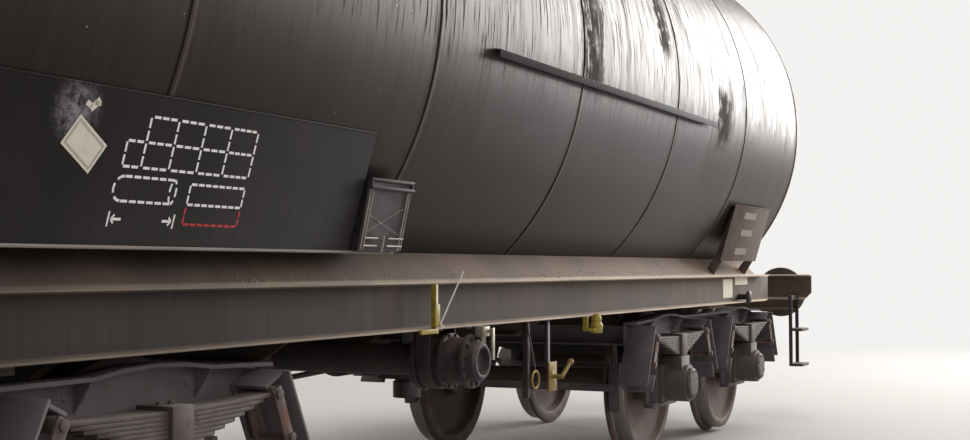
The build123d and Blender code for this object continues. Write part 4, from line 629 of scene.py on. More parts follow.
def connected(start: list[BMVert]) -> set[BMVert]:
    """Finds the vertices that edges join to the given ones, with these.

    Args:
        start: The vertices to begin from.

    Returns:
        All of them.
    """
    found, queue = set(start), list(start)
    while queue:
        vert = queue.pop()
        for other in (edge.other_vert(vert) for edge in vert.link_edges):
            if other not in found:
                found.add(other)
                queue.append(other)
    return found


def loose_parts(mesh: BMesh) -> list[set[BMVert]]:
    """Groups the vertices of a mesh by connected part.

    Args:
        mesh: The mesh.

    Returns:
        One set of vertices a part.
    """
    groups, seen = [], set()
    for vert in mesh.verts:
        if vert not in seen:
            groups.append(connected([vert]))
            seen |= groups[-1]
    return groups


def add_turned(mesh: BMesh, profile: list[Pair], steps: int, place: Matrix | None = None) -> None:
    """Turns a profile round the X axis and moves it to its place.

    Args:
        mesh: The mesh that takes it.
        profile: Points as (distance along the axis, radius).
        steps: How many steps the full turn has.
        place: Where the turned shape goes.
    """
    verts = [mesh.verts.new((along, 0.0, radius)) for along, radius in profile]
    edges = [mesh.edges.new(pair) for pair in zip(verts, verts[1:])]
    made = bmesh.ops.spin(mesh, geom=verts + edges, cent=(0, 0, 0), axis=(1, 0, 0), angle=2 * math.pi,
                          steps=steps, use_merge=True)
    last = [g for g in made["geom_last"] if isinstance(g, BMVert)]
    found = connected([v for v in verts if v.is_valid] + last)
    bmesh.ops.remove_doubles(mesh, verts=list(found), dist=WELD_DISTANCE)
    left = [v for v in found if v.is_valid]
    bmesh.ops.recalc_face_normals(mesh, faces=list({f for v in left for f in v.link_faces}))
    if place is not None:
        bmesh.ops.transform(mesh, matrix=place, verts=left)


def merged_copy(node: str) -> BMesh:
    """Copies a CAD node's mesh with its loose triangles joined.

    Args:
        node: The CAD node's name.

    Returns:
        The joined mesh, with flat faces made whole.
    """
    mesh = bmesh.new()
    mesh.from_mesh(bpy.data.objects[node].data)
    bmesh.ops.remove_doubles(mesh, verts=mesh.verts, dist=WELD_DISTANCE)
    bmesh.ops.dissolve_limit(mesh, angle_limit=math.radians(0.5), verts=mesh.verts, edges=mesh.edges,
                             use_dissolve_boundaries=False)
    return mesh


def soften(mesh: BMesh, width: float, angle: float = 32.0) -> None:
    """Rounds the sharp edges of each connected part.

    Args:
        mesh: The mesh.
        width: The rounding's width in metres, cut down where a part is too fine for it.
        angle: The least angle of an edge that is rounded, in degrees.
    """
    limit = math.radians(angle)
    for group in loose_parts(mesh):
        edges = {e for v in group for e in v.link_edges if e.is_manifold and e.calc_face_angle(0.0) > limit}
        if edges:
            bmesh.ops.bevel(mesh, geom=list(edges), offset=width, offset_type="OFFSET", segments=2,
                            profile=0.5, affect="EDGES", clamp_overlap=True, material=-1)


@dataclass
class Workshop:
    """Turns meshes into pieces that ride on the frame's bodies."""

    materials: dict[Finish, bpy.types.Material] = field(default_factory=dict)
    made: list[str] = field(default_factory=list)

    def material(self, finish: Finish) -> bpy.types.Material:
        """Builds a finish's material once and keeps it.

        Args:
            finish: The finish.

        Returns:
            Its material.
        """
        if finish not in self.materials:
            self.materials[finish] = finish.value.build()
        return self.materials[finish]

    def piece(self, name: str, mesh: BMesh, finish: Finish, body: str = "wagon",
              nodes: tuple[str, ...] = (), smooth: float = 38.0, second: Finish | None = None,
              side: Side | None = None) -> None:
        """Makes an object from a mesh, dresses it and hands it to the frame.

        Args:
            name: The piece's name, to which a side adds its own.
            mesh: Its mesh, which is freed.
            finish: Its finish.
            body: The body that it rides on.
            nodes: The CAD nodes that it stands for.
            smooth: Edges below this angle are shaded smooth, in degrees.
            second: The finish of faces with a material index of 1.
            side: The side that a near side's shape is turned to.
        """
        if side is not None:
            name = f"{name}_{side.value}"
            bmesh.ops.transform(mesh, matrix=side.turn, verts=mesh.verts)
        data = bpy.data.meshes.new(name)
        mesh.normal_update()
        mesh.to_mesh(data)
        mesh.free()
        stored = data.attributes.get("custom_normal")
        if stored is not None:
            data.attributes.remove(stored)
        data.shade_smooth()
        data.set_sharp_from_angle(angle=math.radians(smooth))
        data.materials.append(self.material(finish))
        if second is not None:
            data.materials.append(self.material(second))
        thing = bpy.data.objects.new(name, data)
        bpy.context.scene.collection.objects.link(thing)
        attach(thing, body)
        if nodes:
            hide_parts(*nodes)
        self.made.append(name)
        LOG.info("%s: %d faces on %s", name, len(data.polygons), body)

    def refined(self, node: str, finish: Finish, slot: str, width: float, body: str = "wagon") -> None:
        """Stands a rounded copy in for a CAD node.

        Args:
            node: The CAD node's name.
            finish: Its finish.
            slot: Not used.
            width: The width of the rounding along its edges.
            body: The body that it rides on.
        """
        mesh = merged_copy(node)
        soften(mesh, width)
        self.piece(node + "_shape", mesh, finish, body, (node,))


@dataclass
class TankShell:
    """The barrel of six plate courses, its dished ends and their weld beads."""

    crown_radius: float = 2 * TANK_RADIUS
    knuckle_radius: float = 0.2 * TANK_RADIUS
    crown_steps: int = 14
    knuckle_steps: int = 8
    barrel_steps: int = 100
    turn_steps: int = 224
    weld_pull: float = 0.0016
    weld_reach: float = 0.16
    buckling: float = 0.0016
    bead_width: float = 0.012
    bead_height: float = 0.0022
    bead_steps: int = 160
    lengthwise_leans: Pair = (-34.0, 28.0)

    def profile(self) -> list[Pair]:
        """Half section of the vessel as (distance along, radius), from one tip to the other.

        Returns:
            The points of the section.
        """
        rise = self.crown_radius - self.knuckle_radius
        side = TANK_RADIUS - self.knuckle_radius
        crown_x = BARREL_HALF - math.sqrt(rise ** 2 - side ** 2)
        slope = math.atan2(side, BARREL_HALF - crown_x)
        half = []
        for k in range(self.crown_steps + 1):
            angle = slope * k / self.crown_steps
            half.append((crown_x + self.crown_radius * math.cos(angle),
                         self.crown_radius * math.sin(angle)))
        for k in range(1, self.knuckle_steps + 1):
            angle = slope + (math.pi / 2 - slope) * k / self.knuckle_steps
            half.append((BARREL_HALF + self.knuckle_radius * math.cos(angle),
                         side + self.knuckle_radius * math.sin(angle)))
        barrel = [(BARREL_HALF * (1 - 2 * k / self.barrel_steps), TANK_RADIUS)
                  for k in range(1, self.barrel_steps)]
        return half + barrel + [(-x, r) for x, r in reversed(half)]

    def settle(self, mesh: BMesh) -> None:
        """Pulls the plate in at each weld and lets it wave a little, as rolled plate does.

        Args:
            mesh: The shell, with its axis on the X axis.
        """
        for vert in mesh.verts:
            out = Vector((0.0, vert.co.y, vert.co.z))
            if abs(vert.co.x) > BARREL_HALF or out.length < 0.5:
                continue
            from_seam = vert.co.x % COURSE_LENGTH
            from_seam = min(from_seam, COURSE_LENGTH - from_seam)
            pull = self.weld_pull * max(0.0, 1 - from_seam / self.weld_reach) ** 2
            wave = noise.noise(Vector((vert.co.x * 1.4, vert.co.y * 1.1, vert.co.z * 1.1)))
            vert.co -= out.normalized() * (pull - self.buckling * (wave - 0.5))

    def beads(self) -> BMesh:
        """Makes the beads round the tank between the courses, and the one along each course.

        Returns:
            Their mesh, with the tank's axis on the X axis.
        """
        mesh = bmesh.new()
        half, height = self.bead_width / 2, self.bead_height
        arc = [(-half, -height), (-half * 0.7, height * 0.5), (0.0, height), (half * 0.7, height * 0.5),
               (half, -height)]
        for k in range(-COURSES_HALF, COURSES_HALF + 1):
            x = k * COURSE_LENGTH
            add_turned(mesh, [(x + u, TANK_RADIUS + v) for u, v in arc + arc[:1]], self.bead_steps)
        for k in range(-COURSES_HALF, COURSES_HALF):
            x = k * COURSE_LENGTH
            lean = math.radians(self.lengthwise_leans[k % 2])
            reach = TANK_RADIUS + height * 0.2
            y, z = reach * math.sin(lean), reach * math.cos(lean)
            add_bar(mesh, (x, y, z), (x + COURSE_LENGTH, y, z), height * 1.6, 8)
        return mesh

    def build(self, shop: Workshop) -> None:
        """Makes the shell and its weld beads.

        Args:
            shop: The workshop that dresses the pieces.
        """
        shell = bmesh.new()
        add_turned(shell, self.profile(), self.turn_steps)
        self.settle(shell)
        for name, mesh, nodes in (("tank_shell", shell, ("tank",)), ("tank_weld_beads", self.beads(), ())):
            bmesh.ops.translate(mesh, vec=(0, 0, TANK_Z), verts=mesh.verts)
            shop.piece(name, mesh, Finish.TANK, nodes=nodes, smooth=60)


@dataclass
class LeaningFace:
    """Near side's face of a plate that leans against the tank, as a place for what lies on it."""

    top: Pair
    foot: Pair

    @property
    def length(self) -> float:
        """How far it runs from its top line to its foot."""
        return (Vector(self.foot) - Vector(self.top)).length

    def at(self, x: float, down: float, lift: float = STENCIL_LIFT) -> Vector:
        """Point on the face.

        Args:
            x: Distance along the wagon.
            down: Distance down the face from its top line.
            lift: How far it stands out from the face.

        Returns:
            The point.
        """
        top, foot = Vector((0, *self.top)), Vector((0, *self.foot))
        way = (foot - top).normalized()
        out = Vector((0, way.z, -way.y))
        return Vector((x, 0, 0)) + top + way * down + out * lift

    def stroke(self, mesh: BMesh, start: Spot, end: Spot, width: float, lift: float = STENCIL_LIFT) -> None:
        """Lays one thin painted stroke on the face.

        Args:
            mesh: The mesh that takes it.
            start: Its first end as (x, down).
            end: Its last end as (x, down).
            width: Its width.
            lift: How far it stands out from the face.
        """
        first, last = Vector(start), Vector(end)
        across = (last - first).orthogonal().normalized() * width / 2
        corners = (first + across, first - across, last - across, last + across)
        add_quad(mesh, [self.at(*corner, lift) for corner in corners])


@dataclass
class Board(LeaningFace):
    """Markings on the long leaning board: blank stencilled frames and a blank card."""

    top: Pair = (-1.3018, 1.82)
    foot: Pair = (-1.174, 1.379)
    dash: float = 0.0285
    gap: float = 0.0076
    line: float = 0.0085
    card_middle: Pair = (-3.347, 0.17)
    card_half: Pair = (0.076, 0.05)
    card_tilt: float = 31.0
    card_thickness: float = 1.5 * MM
    card_insets: Pair = (0.009, 0.013)
    card_line: float = 1.4 * MM
    card_line_lift: float = 2 * MM
    torn_bits: tuple[tuple[Pair, Pair, float], ...] = (
        ((-3.352, 0.07), (-3.322, 0.04), 0.02), ((-3.372, 0.052), (-3.35, 0.062), 0.016),
        ((-3.34, 0.05), (-3.316, 0.052), 0.012))

    def dashes(self, mesh: BMesh, start: Pair, end: Pair) -> None:
        """Lays a stencilled line of dashes between two (x, down) points.

        Args:
            mesh: The mesh that takes it.
            start: Its first end.
            end: Its last end.
        """
        first, last = Vector(start), Vector(end)
        path = last - first
        count = max(1, round(path.length / (self.dash + self.gap)))
        step = path / count
        bare = self.gap / (self.dash + self.gap)
        for k in range(count):
            begin = first + step * (k + bare / 2)
            self.stroke(mesh, begin, begin + step * (1 - bare), self.line)

    def grid(self, mesh: BMesh) -> None:
        """Lays the load table: four blank cells over five.

        Args:
            mesh: The mesh that takes it.
        """
        rows = (0.065, 0.143, 0.22)
        columns = (-3.094, -2.967, -2.835, -2.703, -2.561)
        first_column = -3.175
        for x in columns:
            self.dashes(mesh, (x, rows[0]), (x, rows[2]))
        self.dashes(mesh, (first_column, rows[1]), (first_column, rows[2]))
        for left, right in zip(columns, columns[1:]):
            for row in rows:
                self.dashes(mesh, (left + self.gap, row), (right - self.gap, row))
        for row in rows[1:]:
            self.dashes(mesh, (first_column, row), (columns[0] - self.gap, row))

    def volume_frame(self, mesh: BMesh) -> None:
        """Lays a long frame with a round left end and an upright oval at its right end.

        Args:
            mesh: The mesh that takes it.
        """
        left, right, top, low, oval_half = -3.153, -2.924, 0.249, 0.324, 0.015
        middle, radius = (top + low) / 2, (low - top) / 2
        for row in (top, low):
            self.dashes(mesh, (left, row), (right, row))
        turns = 8
        ring = [(math.sin(math.pi * k / turns), math.cos(math.pi * k / turns)) for k in range(turns + 1)]
        bow = [(left - radius * s, middle - radius * c) for s, c in ring]
        oval = [(right + oval_half * s, middle - radius * c) for s, c in ring]
        oval += [(right - oval_half * s, middle + radius * c) for s, c in ring[1:]]
        for points in (bow, oval):
            for k, (a, b) in enumerate(zip(points, points[1:])):
                if k % 3 != 2:
                    self.stroke(mesh, a, b, self.line)

    def weight_frame(self, white: BMesh, red: BMesh) -> None:
        """Lays a white frame over a red one that is open at its top.

        Args:
            white: The mesh of the white lines.
            red: The mesh of the red lines.
        """
        left, right = -2.844, -2.563
        top, low, red_low = 0.257, 0.322, 0.386
        for row in (top, low):
            self.dashes(white, (left, row), (right, row))
        for x in (left, right):
            self.dashes(white, (x, top), (x, low))
            self.dashes(red, (x, low + self.gap), (x, red_low))
        self.dashes(red, (left, red_low), (right, red_low))

    def length_arrows(self, mesh: BMesh) -> None:
        """Lays the length mark: an arrow to each side with its bar.

        Args:
            mesh: The mesh that takes it.
        """
        down, head, bar_half = 0.379, 0.013, 0.023
        for bar, tip, tail in ((-3.183, -3.172, -3.129), (-2.889, -2.901, -2.943)):
            self.stroke(mesh, (bar, down - bar_half), (bar, down + bar_half), self.line * 0.8)
            self.stroke(mesh, (tip, down), (tail, down), self.line)
            way = 1 if tail > tip else -1
            for side in BOTH:
                self.stroke(mesh, (tip, down), (tip + way * head, down + side * head), self.line * 0.8)

    def card(self, plate: BMesh, lines: BMesh) -> None:
        """Makes the tilted blank card and its double printed line.

        Args:
            plate: The mesh that takes the card.
            lines: The mesh that takes the printed lines.
        """
        tilt = math.radians(self.card_tilt)
        along = Vector((math.cos(tilt), math.sin(tilt)))
        across = Vector((math.sin(tilt), -math.cos(tilt)))

        def corners(inset: float) -> list[Vector]:
            """Corners of the card less an inset, as (x, down)."""
            u, v = self.card_half[0] - inset, self.card_half[1] - inset
            ring = ((-u, -v), (u, -v), (u, v), (-u, v))
            return [Vector(self.card_middle) + along * a + across * b for a, b in ring]

        face = plate.faces.new([plate.verts.new(self.at(*corner, 0.0)) for corner in corners(0.0)])
        solid = bmesh.ops.extrude_face_region(plate, geom=[face])
        out = self.at(0, 0, self.card_thickness) - self.at(0, 0, 0)
        bmesh.ops.translate(plate, vec=out, verts=[g for g in solid["geom"] if isinstance(g, BMVert)])
        bmesh.ops.recalc_face_normals(plate, faces=plate.faces)
        for inset in self.card_insets:
            ring = corners(inset)
            for start, end in zip(ring, ring[1:] + ring[:1]):
                self.stroke(lines, start, end, self.card_line, self.card_line_lift)

    def build(self, shop: Workshop) -> None:
        """Makes the near side's torn paper and the markings of both sides.

        Args:
            shop: The workshop that dresses the pieces.
        """
        torn = bmesh.new()
        for start, end, width in self.torn_bits:
            self.stroke(torn, start, end, width)
        shop.piece("board_torn_paper", torn, Finish.PLACARD)
        for side in Side:
            white, red, plate, lines = (bmesh.new() for _ in range(4))
            self.grid(white)
            self.volume_frame(white)
            self.weight_frame(white, red)
            self.length_arrows(white)
            self.card(plate, lines)
            for name, mesh, finish in (("stencils_white", white, Finish.WHITE_STENCIL),
                                       ("stencils_red", red, Finish.RED_STENCIL),
                                       ("card", plate, Finish.PLACARD),
                                       ("card_lines", lines, Finish.PLACARD_LINE)):
                shop.piece("board_" + name, mesh, finish, side=side)


@dataclass
class EndBoardPatches(LeaningFace):
    """Three blank cream patches on each end board."""

    top: Pair = (-1.296, 1.761)
    foot: Pair = (-1.175, 1.362)
    patches: tuple[Triple, ...] = ((3.519, 3.842, 0.071), (3.547, 3.861, 0.2), (3.519, 3.833, 0.342))
    patch_height: float = 0.048

    def build(self, shop: Workshop) -> None:
        """Makes the patches of both sides.

        Args:
            shop: The workshop that dresses the pieces.
        """
        for side in Side:
            mesh = bmesh.new()
            for left, right, down in self.patches:
                self.stroke(mesh, (left, down), (right, down), self.patch_height)
            shop.piece("end_board_patches", mesh, Finish.FADED, side=side)


@dataclass
class ClipWires(LeaningFace):
    """Pale wires and lips on the document frames, and the rod along the long boards' foot."""

    top: Pair = (-1.272, 1.645)
    foot: Pair = (-1.213, 1.377)
    side_wires: tuple[float, ...] = (-1.806, -1.787, -1.518, -1.499)
    side_wire_ends: Pair = (0.035, 0.004)
    lip_runs: tuple[Pair, ...] = ((-1.8, -1.7), (-1.62, -1.505))
    lip_down: Pair = (0.222, 0.252)
    lip_lift: float = 0.006
    strap_x: float = -1.66
    strap_lift: float = 0.01
    threads: tuple[tuple[Pair, Pair], ...] = (
        ((-1.79, 0.13), (-1.51, 0.215)), ((-1.79, 0.205), (-1.53, 0.1)))
    thread_lift: float = -0.002
    wire_radius: float = 0.0028
    rod_x: Pair = (-4.25, -1.5)
    rod_place: Pair = (-1.182, 1.373)
    rod_radius: float = 0.0055

    def wires(self, mesh: BMesh) -> None:
        """Adds the wires, lips, strap and crossed threads of one document frame.

        Args:
            mesh: The mesh that takes them.
        """
        from_top, from_foot = self.side_wire_ends
        for x in self.side_wires:
            add_bar(mesh, self.at(x, from_top), self.at(x, self.length - from_foot), self.wire_radius, 8)
        for left, right in self.lip_runs:
            for down in self.lip_down:
                add_bar(mesh, self.at(left, down, self.lip_lift), self.at(right, down, self.lip_lift),
                        self.wire_radius * 1.3, 8)
        add_bar(mesh, self.at(self.strap_x, self.lip_down[0] - 0.01, self.strap_lift),
                self.at(self.strap_x, self.length + 0.004, self.strap_lift), self.wire_radius * 1.6, 8)
        for start, end in self.threads:
            add_bar(mesh, self.at(*start, self.thread_lift), self.at(*end, self.thread_lift),
                    self.wire_radius * 0.25, 6)

    def build(self, shop: Workshop) -> None:
        """Makes the wires and the boards' foot rods of both sides.

        Args:
            shop: The workshop that dresses the pieces.
        """
        for side in Side:
            wires, rod = bmesh.new(), bmesh.new()
            self.wires(wires)
            left, right = ((x, *self.rod_place) for x in self.rod_x)
            add_bar(rod, left, right, self.rod_radius, 10)
            shop.piece("document_frame_wires", wires, Finish.PALE_WIRE, side=side)
            shop.piece("board_foot_rod", rod, Finish.DUSTY_ROD, side=side)


@dataclass
class Spring:
    """Laminated spring with separate leaves, rolled eyes, a buckle and its bolts."""

    leaves: int = 8
    thickness: float = 0.015
    width: float = 0.12
    half_length: float = 0.545
    step: float = 0.057
    top_z: float = 0.85
    camber: float = 0.014
    tip_share: float = 0.8
    eye_radius: float = 0.028
    buckle_half: float = 0.055
    buckle_wall: float = 0.016
    slices: int = 14
    leaf_gap: float = 0.4 * MM

    def build_into(self, mesh: BMesh, axle_x: float, side: int) -> None:
        """Adds one spring.

        Args:
            mesh: The mesh that takes it.
            axle_x: The axle's distance along the wagon.
            side: -1 on the near side and 1 on the far side.
        """
        middle_y = side * JOURNAL_Y
        curve = self.camber / self.half_length ** 2
        for k in range(self.leaves):
            half = self.half_length - self.step * k
            top = self.top_z - self.thickness * k
            rows = []
            for i in range(self.slices + 1):
                x = half * (2 * i / self.slices - 1)
                high = top + curve * x ** 2
                low = high - self.thickness + self.leaf_gap
                reach = self.width / 2 * (self.tip_share if k and i in (0, self.slices) else 1.0)
                rows.append([mesh.verts.new((axle_x + x, middle_y + y, z))
                             for y, z in ((-reach, low), (reach, low), (reach, high), (-reach, high))])
            for a, b in zip(rows, rows[1:]):
                for i in range(4):
                    mesh.faces.new((a[i], a[(i + 1) % 4], b[(i + 1) % 4], b[i]))
            mesh.faces.new(rows[0][::-1])
            mesh.faces.new(rows[-1])
        eye_z = self.top_z + self.camber - self.thickness / 2
        for end in BOTH:
            x = axle_x + end * self.half_length
            add_bar(mesh, (x, middle_y - self.width / 2, eye_z), (x, middle_y + self.width / 2, eye_z),
                    self.eye_radius, 20)
        low = self.top_z - self.leaves * self.thickness - self.buckle_wall
        reach = self.width / 2 + self.buckle_wall
        add_box(mesh, (axle_x - self.buckle_half, middle_y - reach, low),
                (axle_x + self.buckle_half, middle_y + reach, self.top_z + self.buckle_wall))


@dataclass
class WheelPair:
    """Two monobloc wheels and their axle, turned, with a bright running tread."""

    back_to_back: float = 1.36
    rim_width: float = 0.135
    hub_radius: float = 0.14
    rim_depth: float = 0.062
    seat_radius: float = 0.092
    web_in: float = 0.062
    web_thickness: float = 0.026
    web_radius: float = 0.3
    tread_from: float = 0.034
    steps: int = 128

    def profile(self) -> list[Pair]:
        """Closed wheel section as (distance from the wagon's middle, radius).

        Returns:
            The points of the section.
        """
        inner = self.back_to_back / 2
        outer = inner + self.rim_width
        rim, hub, seat = TREAD_RADIUS - self.rim_depth, self.hub_radius, self.seat_radius - 0.002
        web = inner + self.web_in
        face = web + self.web_thickness
        return [(inner - 0.022, seat), (inner - 0.022, hub - 0.01), (inner - 0.016, hub - 0.004),
                (web - 0.02, hub + 0.008), (web - 0.008, hub + 0.03), (web - 0.004, hub + 0.08),
                (web, self.web_radius), (web + 0.004, rim - 0.07), (web - 0.004, rim - 0.026),
                (inner + 0.016, rim - 0.006), (inner + 0.004, rim - 0.001), (inner, rim + 0.008),
                (inner, AXLE_Z - 0.012), (inner + 0.003, AXLE_Z - 0.004), (inner + 0.009, AXLE_Z),
                (inner + 0.016, AXLE_Z), (inner + 0.023, AXLE_Z - 0.004), (inner + 0.029, AXLE_Z - 0.013),
                (inner + 0.034, TREAD_RADIUS + 0.007), (inner + 0.042, TREAD_RADIUS + 0.002),
                (inner + 0.052, TREAD_RADIUS), (outer - 0.012, TREAD_RADIUS - 0.0035),
                (outer - 0.003, TREAD_RADIUS - 0.008), (outer, TREAD_RADIUS - 0.014), (outer, rim + 0.008),
                (outer - 0.004, rim - 0.001), (outer - 0.014, rim - 0.006), (face + 0.008, rim - 0.026),
                (face + 0.004, rim - 0.07), (face, self.web_radius), (face - 0.002, hub + 0.08),
                (face + 0.006, hub + 0.03), (face + 0.02, hub + 0.008), (outer + 0.016, hub - 0.004),
                (outer + 0.022, hub - 0.01), (outer + 0.022, seat)]

    def build(self, shop: Workshop, body: str, axle_x: float) -> None:
        """Makes one pair and dresses its axle.

        Args:
            shop: The workshop that dresses the pieces.
            body: The body that they ride on.
            axle_x: The axle's distance along the wagon.
        """
        mesh = bmesh.new()
        points = self.profile()
        for sign in (1, -1):
            place = Matrix.Translation((axle_x, 0.0, AXLE_Z)) @ Matrix.Rotation(sign * math.pi / 2, 4, "Z")
            add_turned(mesh, points + points[:1], self.steps, place)
        for face in mesh.faces:
            middle = face.calc_center_median()
            radius = math.hypot(middle.x - axle_x, middle.z - AXLE_Z)
            out = abs(middle.y) - self.back_to_back / 2
            if radius > TREAD_RADIUS - 0.006 and self.tread_from < out < self.rim_width - 0.004:
                face.material_index = 1
        shop.piece(body + "_wheels_shape", mesh, Finish.WHEEL, body, (body + "_wheels",),
                   smooth=40, second=Finish.TREAD)
        shop.refined(body + "_axle", Finish.WHEEL, "wheel_steel", 3 * MM, body)


@dataclass
class Bogie:
    """Dress of one bogie: rounded frame, separate spring leaves, bolts and rivets."""

    name: str
    pivot_x: float
    spring: Spring = field(default_factory=Spring)
    cover_seat_y: float = 1.131
    cover_ring: float = 0.084
    cover_bolts: int = 8
    cover_bolt: float = 0.024
    buckle_stud_x: float = 0.03
    buckle_stud_z: float = 0.866
    buckle_stud: float = 0.022
    web_y: float = 0.886
    guide_rivets: tuple[float, float, tuple[float, ...]] = (0.21, 0.013, (0.47, 0.57, 0.67))
    bracket_rivets: tuple[float, float, tuple[float, ...]] = (0.3, 0.011, (0.91, 0.84))
    bracket_spread: float = 0.045

    @property
    def body(self) -> str:
        """Name of the bogie's body."""
        return f"bogie_{self.name}"

    def springs(self, shop: Workshop) -> None:
        """Makes the four springs as one piece.

        Args:
            shop: The workshop that dresses the pieces.
        """
        mesh = bmesh.new()
        for end in BOTH:
            for side in BOTH:
                self.spring.build_into(mesh, self.pivot_x + end * HALF_WHEELBASE, side)
        soften(mesh, 2.5 * MM, 50)
        shop.piece(f"{self.body}_springs_shape", mesh, Finish.SPRING, self.body,
                   (self.body + "_springs",))

    def axle_fasteners(self, mesh: BMesh, axle_x: float, side: int) -> None:
        """Adds the bolts and rivets round one axle box.

        Args:
            mesh: The mesh that takes them.
            axle_x: The axle's distance along the wagon.
            side: -1 on the near side and 1 on the far side.
        """
        out = (0, side, 0)
        for dx, dz in ring_points(self.cover_bolts, self.cover_ring):
            add_bolt(mesh, (axle_x + dx, side * self.cover_seat_y, AXLE_Z + dz), out, self.cover_bolt)
        for way in BOTH:
            stud = (axle_x + way * self.buckle_stud_x, side * JOURNAL_Y, self.buckle_stud_z)
            add_bolt(mesh, stud, (0, 0, 1), self.buckle_stud)
            reach, radius, heights = self.guide_rivets
            for z in heights:
                add_rivet(mesh, (axle_x + way * reach, side * self.web_y, z), out, radius)
            reach, radius, heights = self.bracket_rivets
            for z in heights:
                for dx in (self.bracket_spread, -self.bracket_spread):
                    add_rivet(mesh, (axle_x + way * reach + dx, side * self.web_y, z), out, radius)

    def build(self, shop: Workshop) -> None:
        """Makes the whole bogie's pieces.

        Args:
            shop: The workshop that dresses the pieces.
        """
        for node, finish, slot, width in (
                ("frame", Finish.BOGIE, "bogie_steel", 2.5), ("bolster", Finish.BOGIE, "bogie_steel", 3.0),
                ("spring_links", Finish.SHACKLE, "bogie_steel", 2.0),
                ("hanger_brackets", Finish.BOGIE, "bogie_steel", 2.5),
                ("axle_boxes", Finish.CASTING, "cast_steel", 5.0),
                ("brake_beams", Finish.BOGIE, "bogie_steel", 2.5)):
            shop.refined(f"{self.body}_{node}", finish, slot, width * MM, self.body)
        self.springs(shop)
        mesh = bmesh.new()
        for end in BOTH:
            for side in BOTH:
                self.axle_fasteners(mesh, self.pivot_x + end * HALF_WHEELBASE, side)
        shop.piece(f"{self.body}_fasteners", mesh, Finish.BOGIE, self.body)


@dataclass
class SoleBarFittings:
    """Small things on the sole bars: blank label plates and the white tie at the outlet lever."""

    labels_at: tuple[tuple[float, float, float, float], ...] = (
        (3.72, 3.978, 1.085, 1.226), (4.051, 4.413, 1.179, 1.238))
    label_thickness: float = 1.5 * MM
    tie_points: tuple[Triple, ...] = (
        (-0.761, -1.128, 1.298), (-1.018, -1.145, 1.069), (-0.984, -1.145, 1.052))
    tie_radii: Pair = (3.5 * MM, 4 * MM)

    def build(self, shop: Workshop) -> None:
        """Makes the label plates of both sides and the near side's tie.

        Args:
            shop: The workshop that dresses the pieces.
        """
        for side in Side:
            mesh = bmesh.new()
            for low_x, high_x, low_z, high_z in self.labels_at:
                add_box(mesh, (low_x, -SOLE_WEB_FACE_Y - self.label_thickness, low_z),
                        (high_x, -SOLE_WEB_FACE_Y, high_z))
            shop.piece("sole_bar_labels", mesh, Finish.PLACARD, side=side)
        tie = bmesh.new()
        for start, end, radius in zip(self.tie_points, self.tie_points[1:], self.tie_radii):
            add_bar(tie, start, end, radius, 8)
        shop.piece("outlet_lever_tie", tie, Finish.TIE)


@dataclass
class WagonFasteners:
    """Nuts on the outlet drums, and bolts and rivets on the headstocks."""

    outlet_x: float = -0.76
    outlet_z: float = 0.892
    outlet_nuts: int = 12
    outlet_rings: tuple[Triple, ...] = ((0.942, 0.1255, 0.015), (1.07, 0.1185, 0.013), (1.18, 0.106, 0.018))
    headstock_x: float = 5.64
    buffer_y: float = 0.875
    buffer_z: float = 1.09
    buffer_bolt: float = 0.036
    buffer_bolt_reach: Pair = (0.145, 0.11)
    buffer_plate: float = 0.018
    inner_rivets: tuple[float, float, tuple[float, ...]] = (0.38, 0.013, (1.0, 1.06, 1.12, 1.18))
    outer_rivets: tuple[float, float, tuple[float, ...]] = (1.2, 0.012, (1.13, 1.17, 1.21))
    hook_bolt: float = 0.03
    hook_bolt_reach: float = 0.085
    hook_bolt_z: Pair = (0.995, 1.185)
    hook_plate: float = 0.016

    def outlets(self, mesh: BMesh) -> None:
        """Adds the nuts on the outlet drums' flanges, in rings of (y, radius, width over flats).

        Args:
            mesh: The mesh that takes them.
        """
        for side in BOTH:
            for y, radius, across in self.outlet_rings:
                for dx, dz in ring_points(self.outlet_nuts, radius):
                    add_bolt(mesh, (self.outlet_x + dx, side * y, self.outlet_z + dz), (0, side, 0), across)

    def headstocks(self, mesh: BMesh) -> None:
        """Adds the bolts of the buffers and draw hooks, and the rivets along the headstocks.

        Args:
            mesh: The mesh that takes them.
        """
        for end in BOTH:
            out = (end, 0, 0)
            for side in BOTH:
                for up in BOTH:
                    for over in BOTH:
                        seat = (end * (self.headstock_x + self.buffer_plate),
                                side * self.buffer_y + over * self.buffer_bolt_reach[0],
                                self.buffer_z + up * self.buffer_bolt_reach[1])
                        add_bolt(mesh, seat, out, self.buffer_bolt)
                y, radius, heights = self.inner_rivets
                for z in heights:
                    add_rivet(mesh, (end * self.headstock_x, side * y, z), out, radius)
                z, radius, reaches = self.outer_rivets
                for y in reaches:
                    add_rivet(mesh, (end * self.headstock_x, side * y, z), out, radius)
                for z in self.hook_bolt_z:
                    seat = (end * (self.headstock_x + self.hook_plate), side * self.hook_bolt_reach, z)
                    add_bolt(mesh, seat, out, self.hook_bolt)

    def build(self, shop: Workshop) -> None:
        """Makes them as two pieces.

        Args:
            shop: The workshop that dresses the pieces.
        """
        nuts, bolts = bmesh.new(), bmesh.new()
        self.outlets(nuts)
        self.headstocks(bolts)
        shop.piece("outlet_flange_nuts", nuts, Finish.GEAR)
        shop.piece("underframe_bolts_and_rivets", bolts, Finish.FRAME)


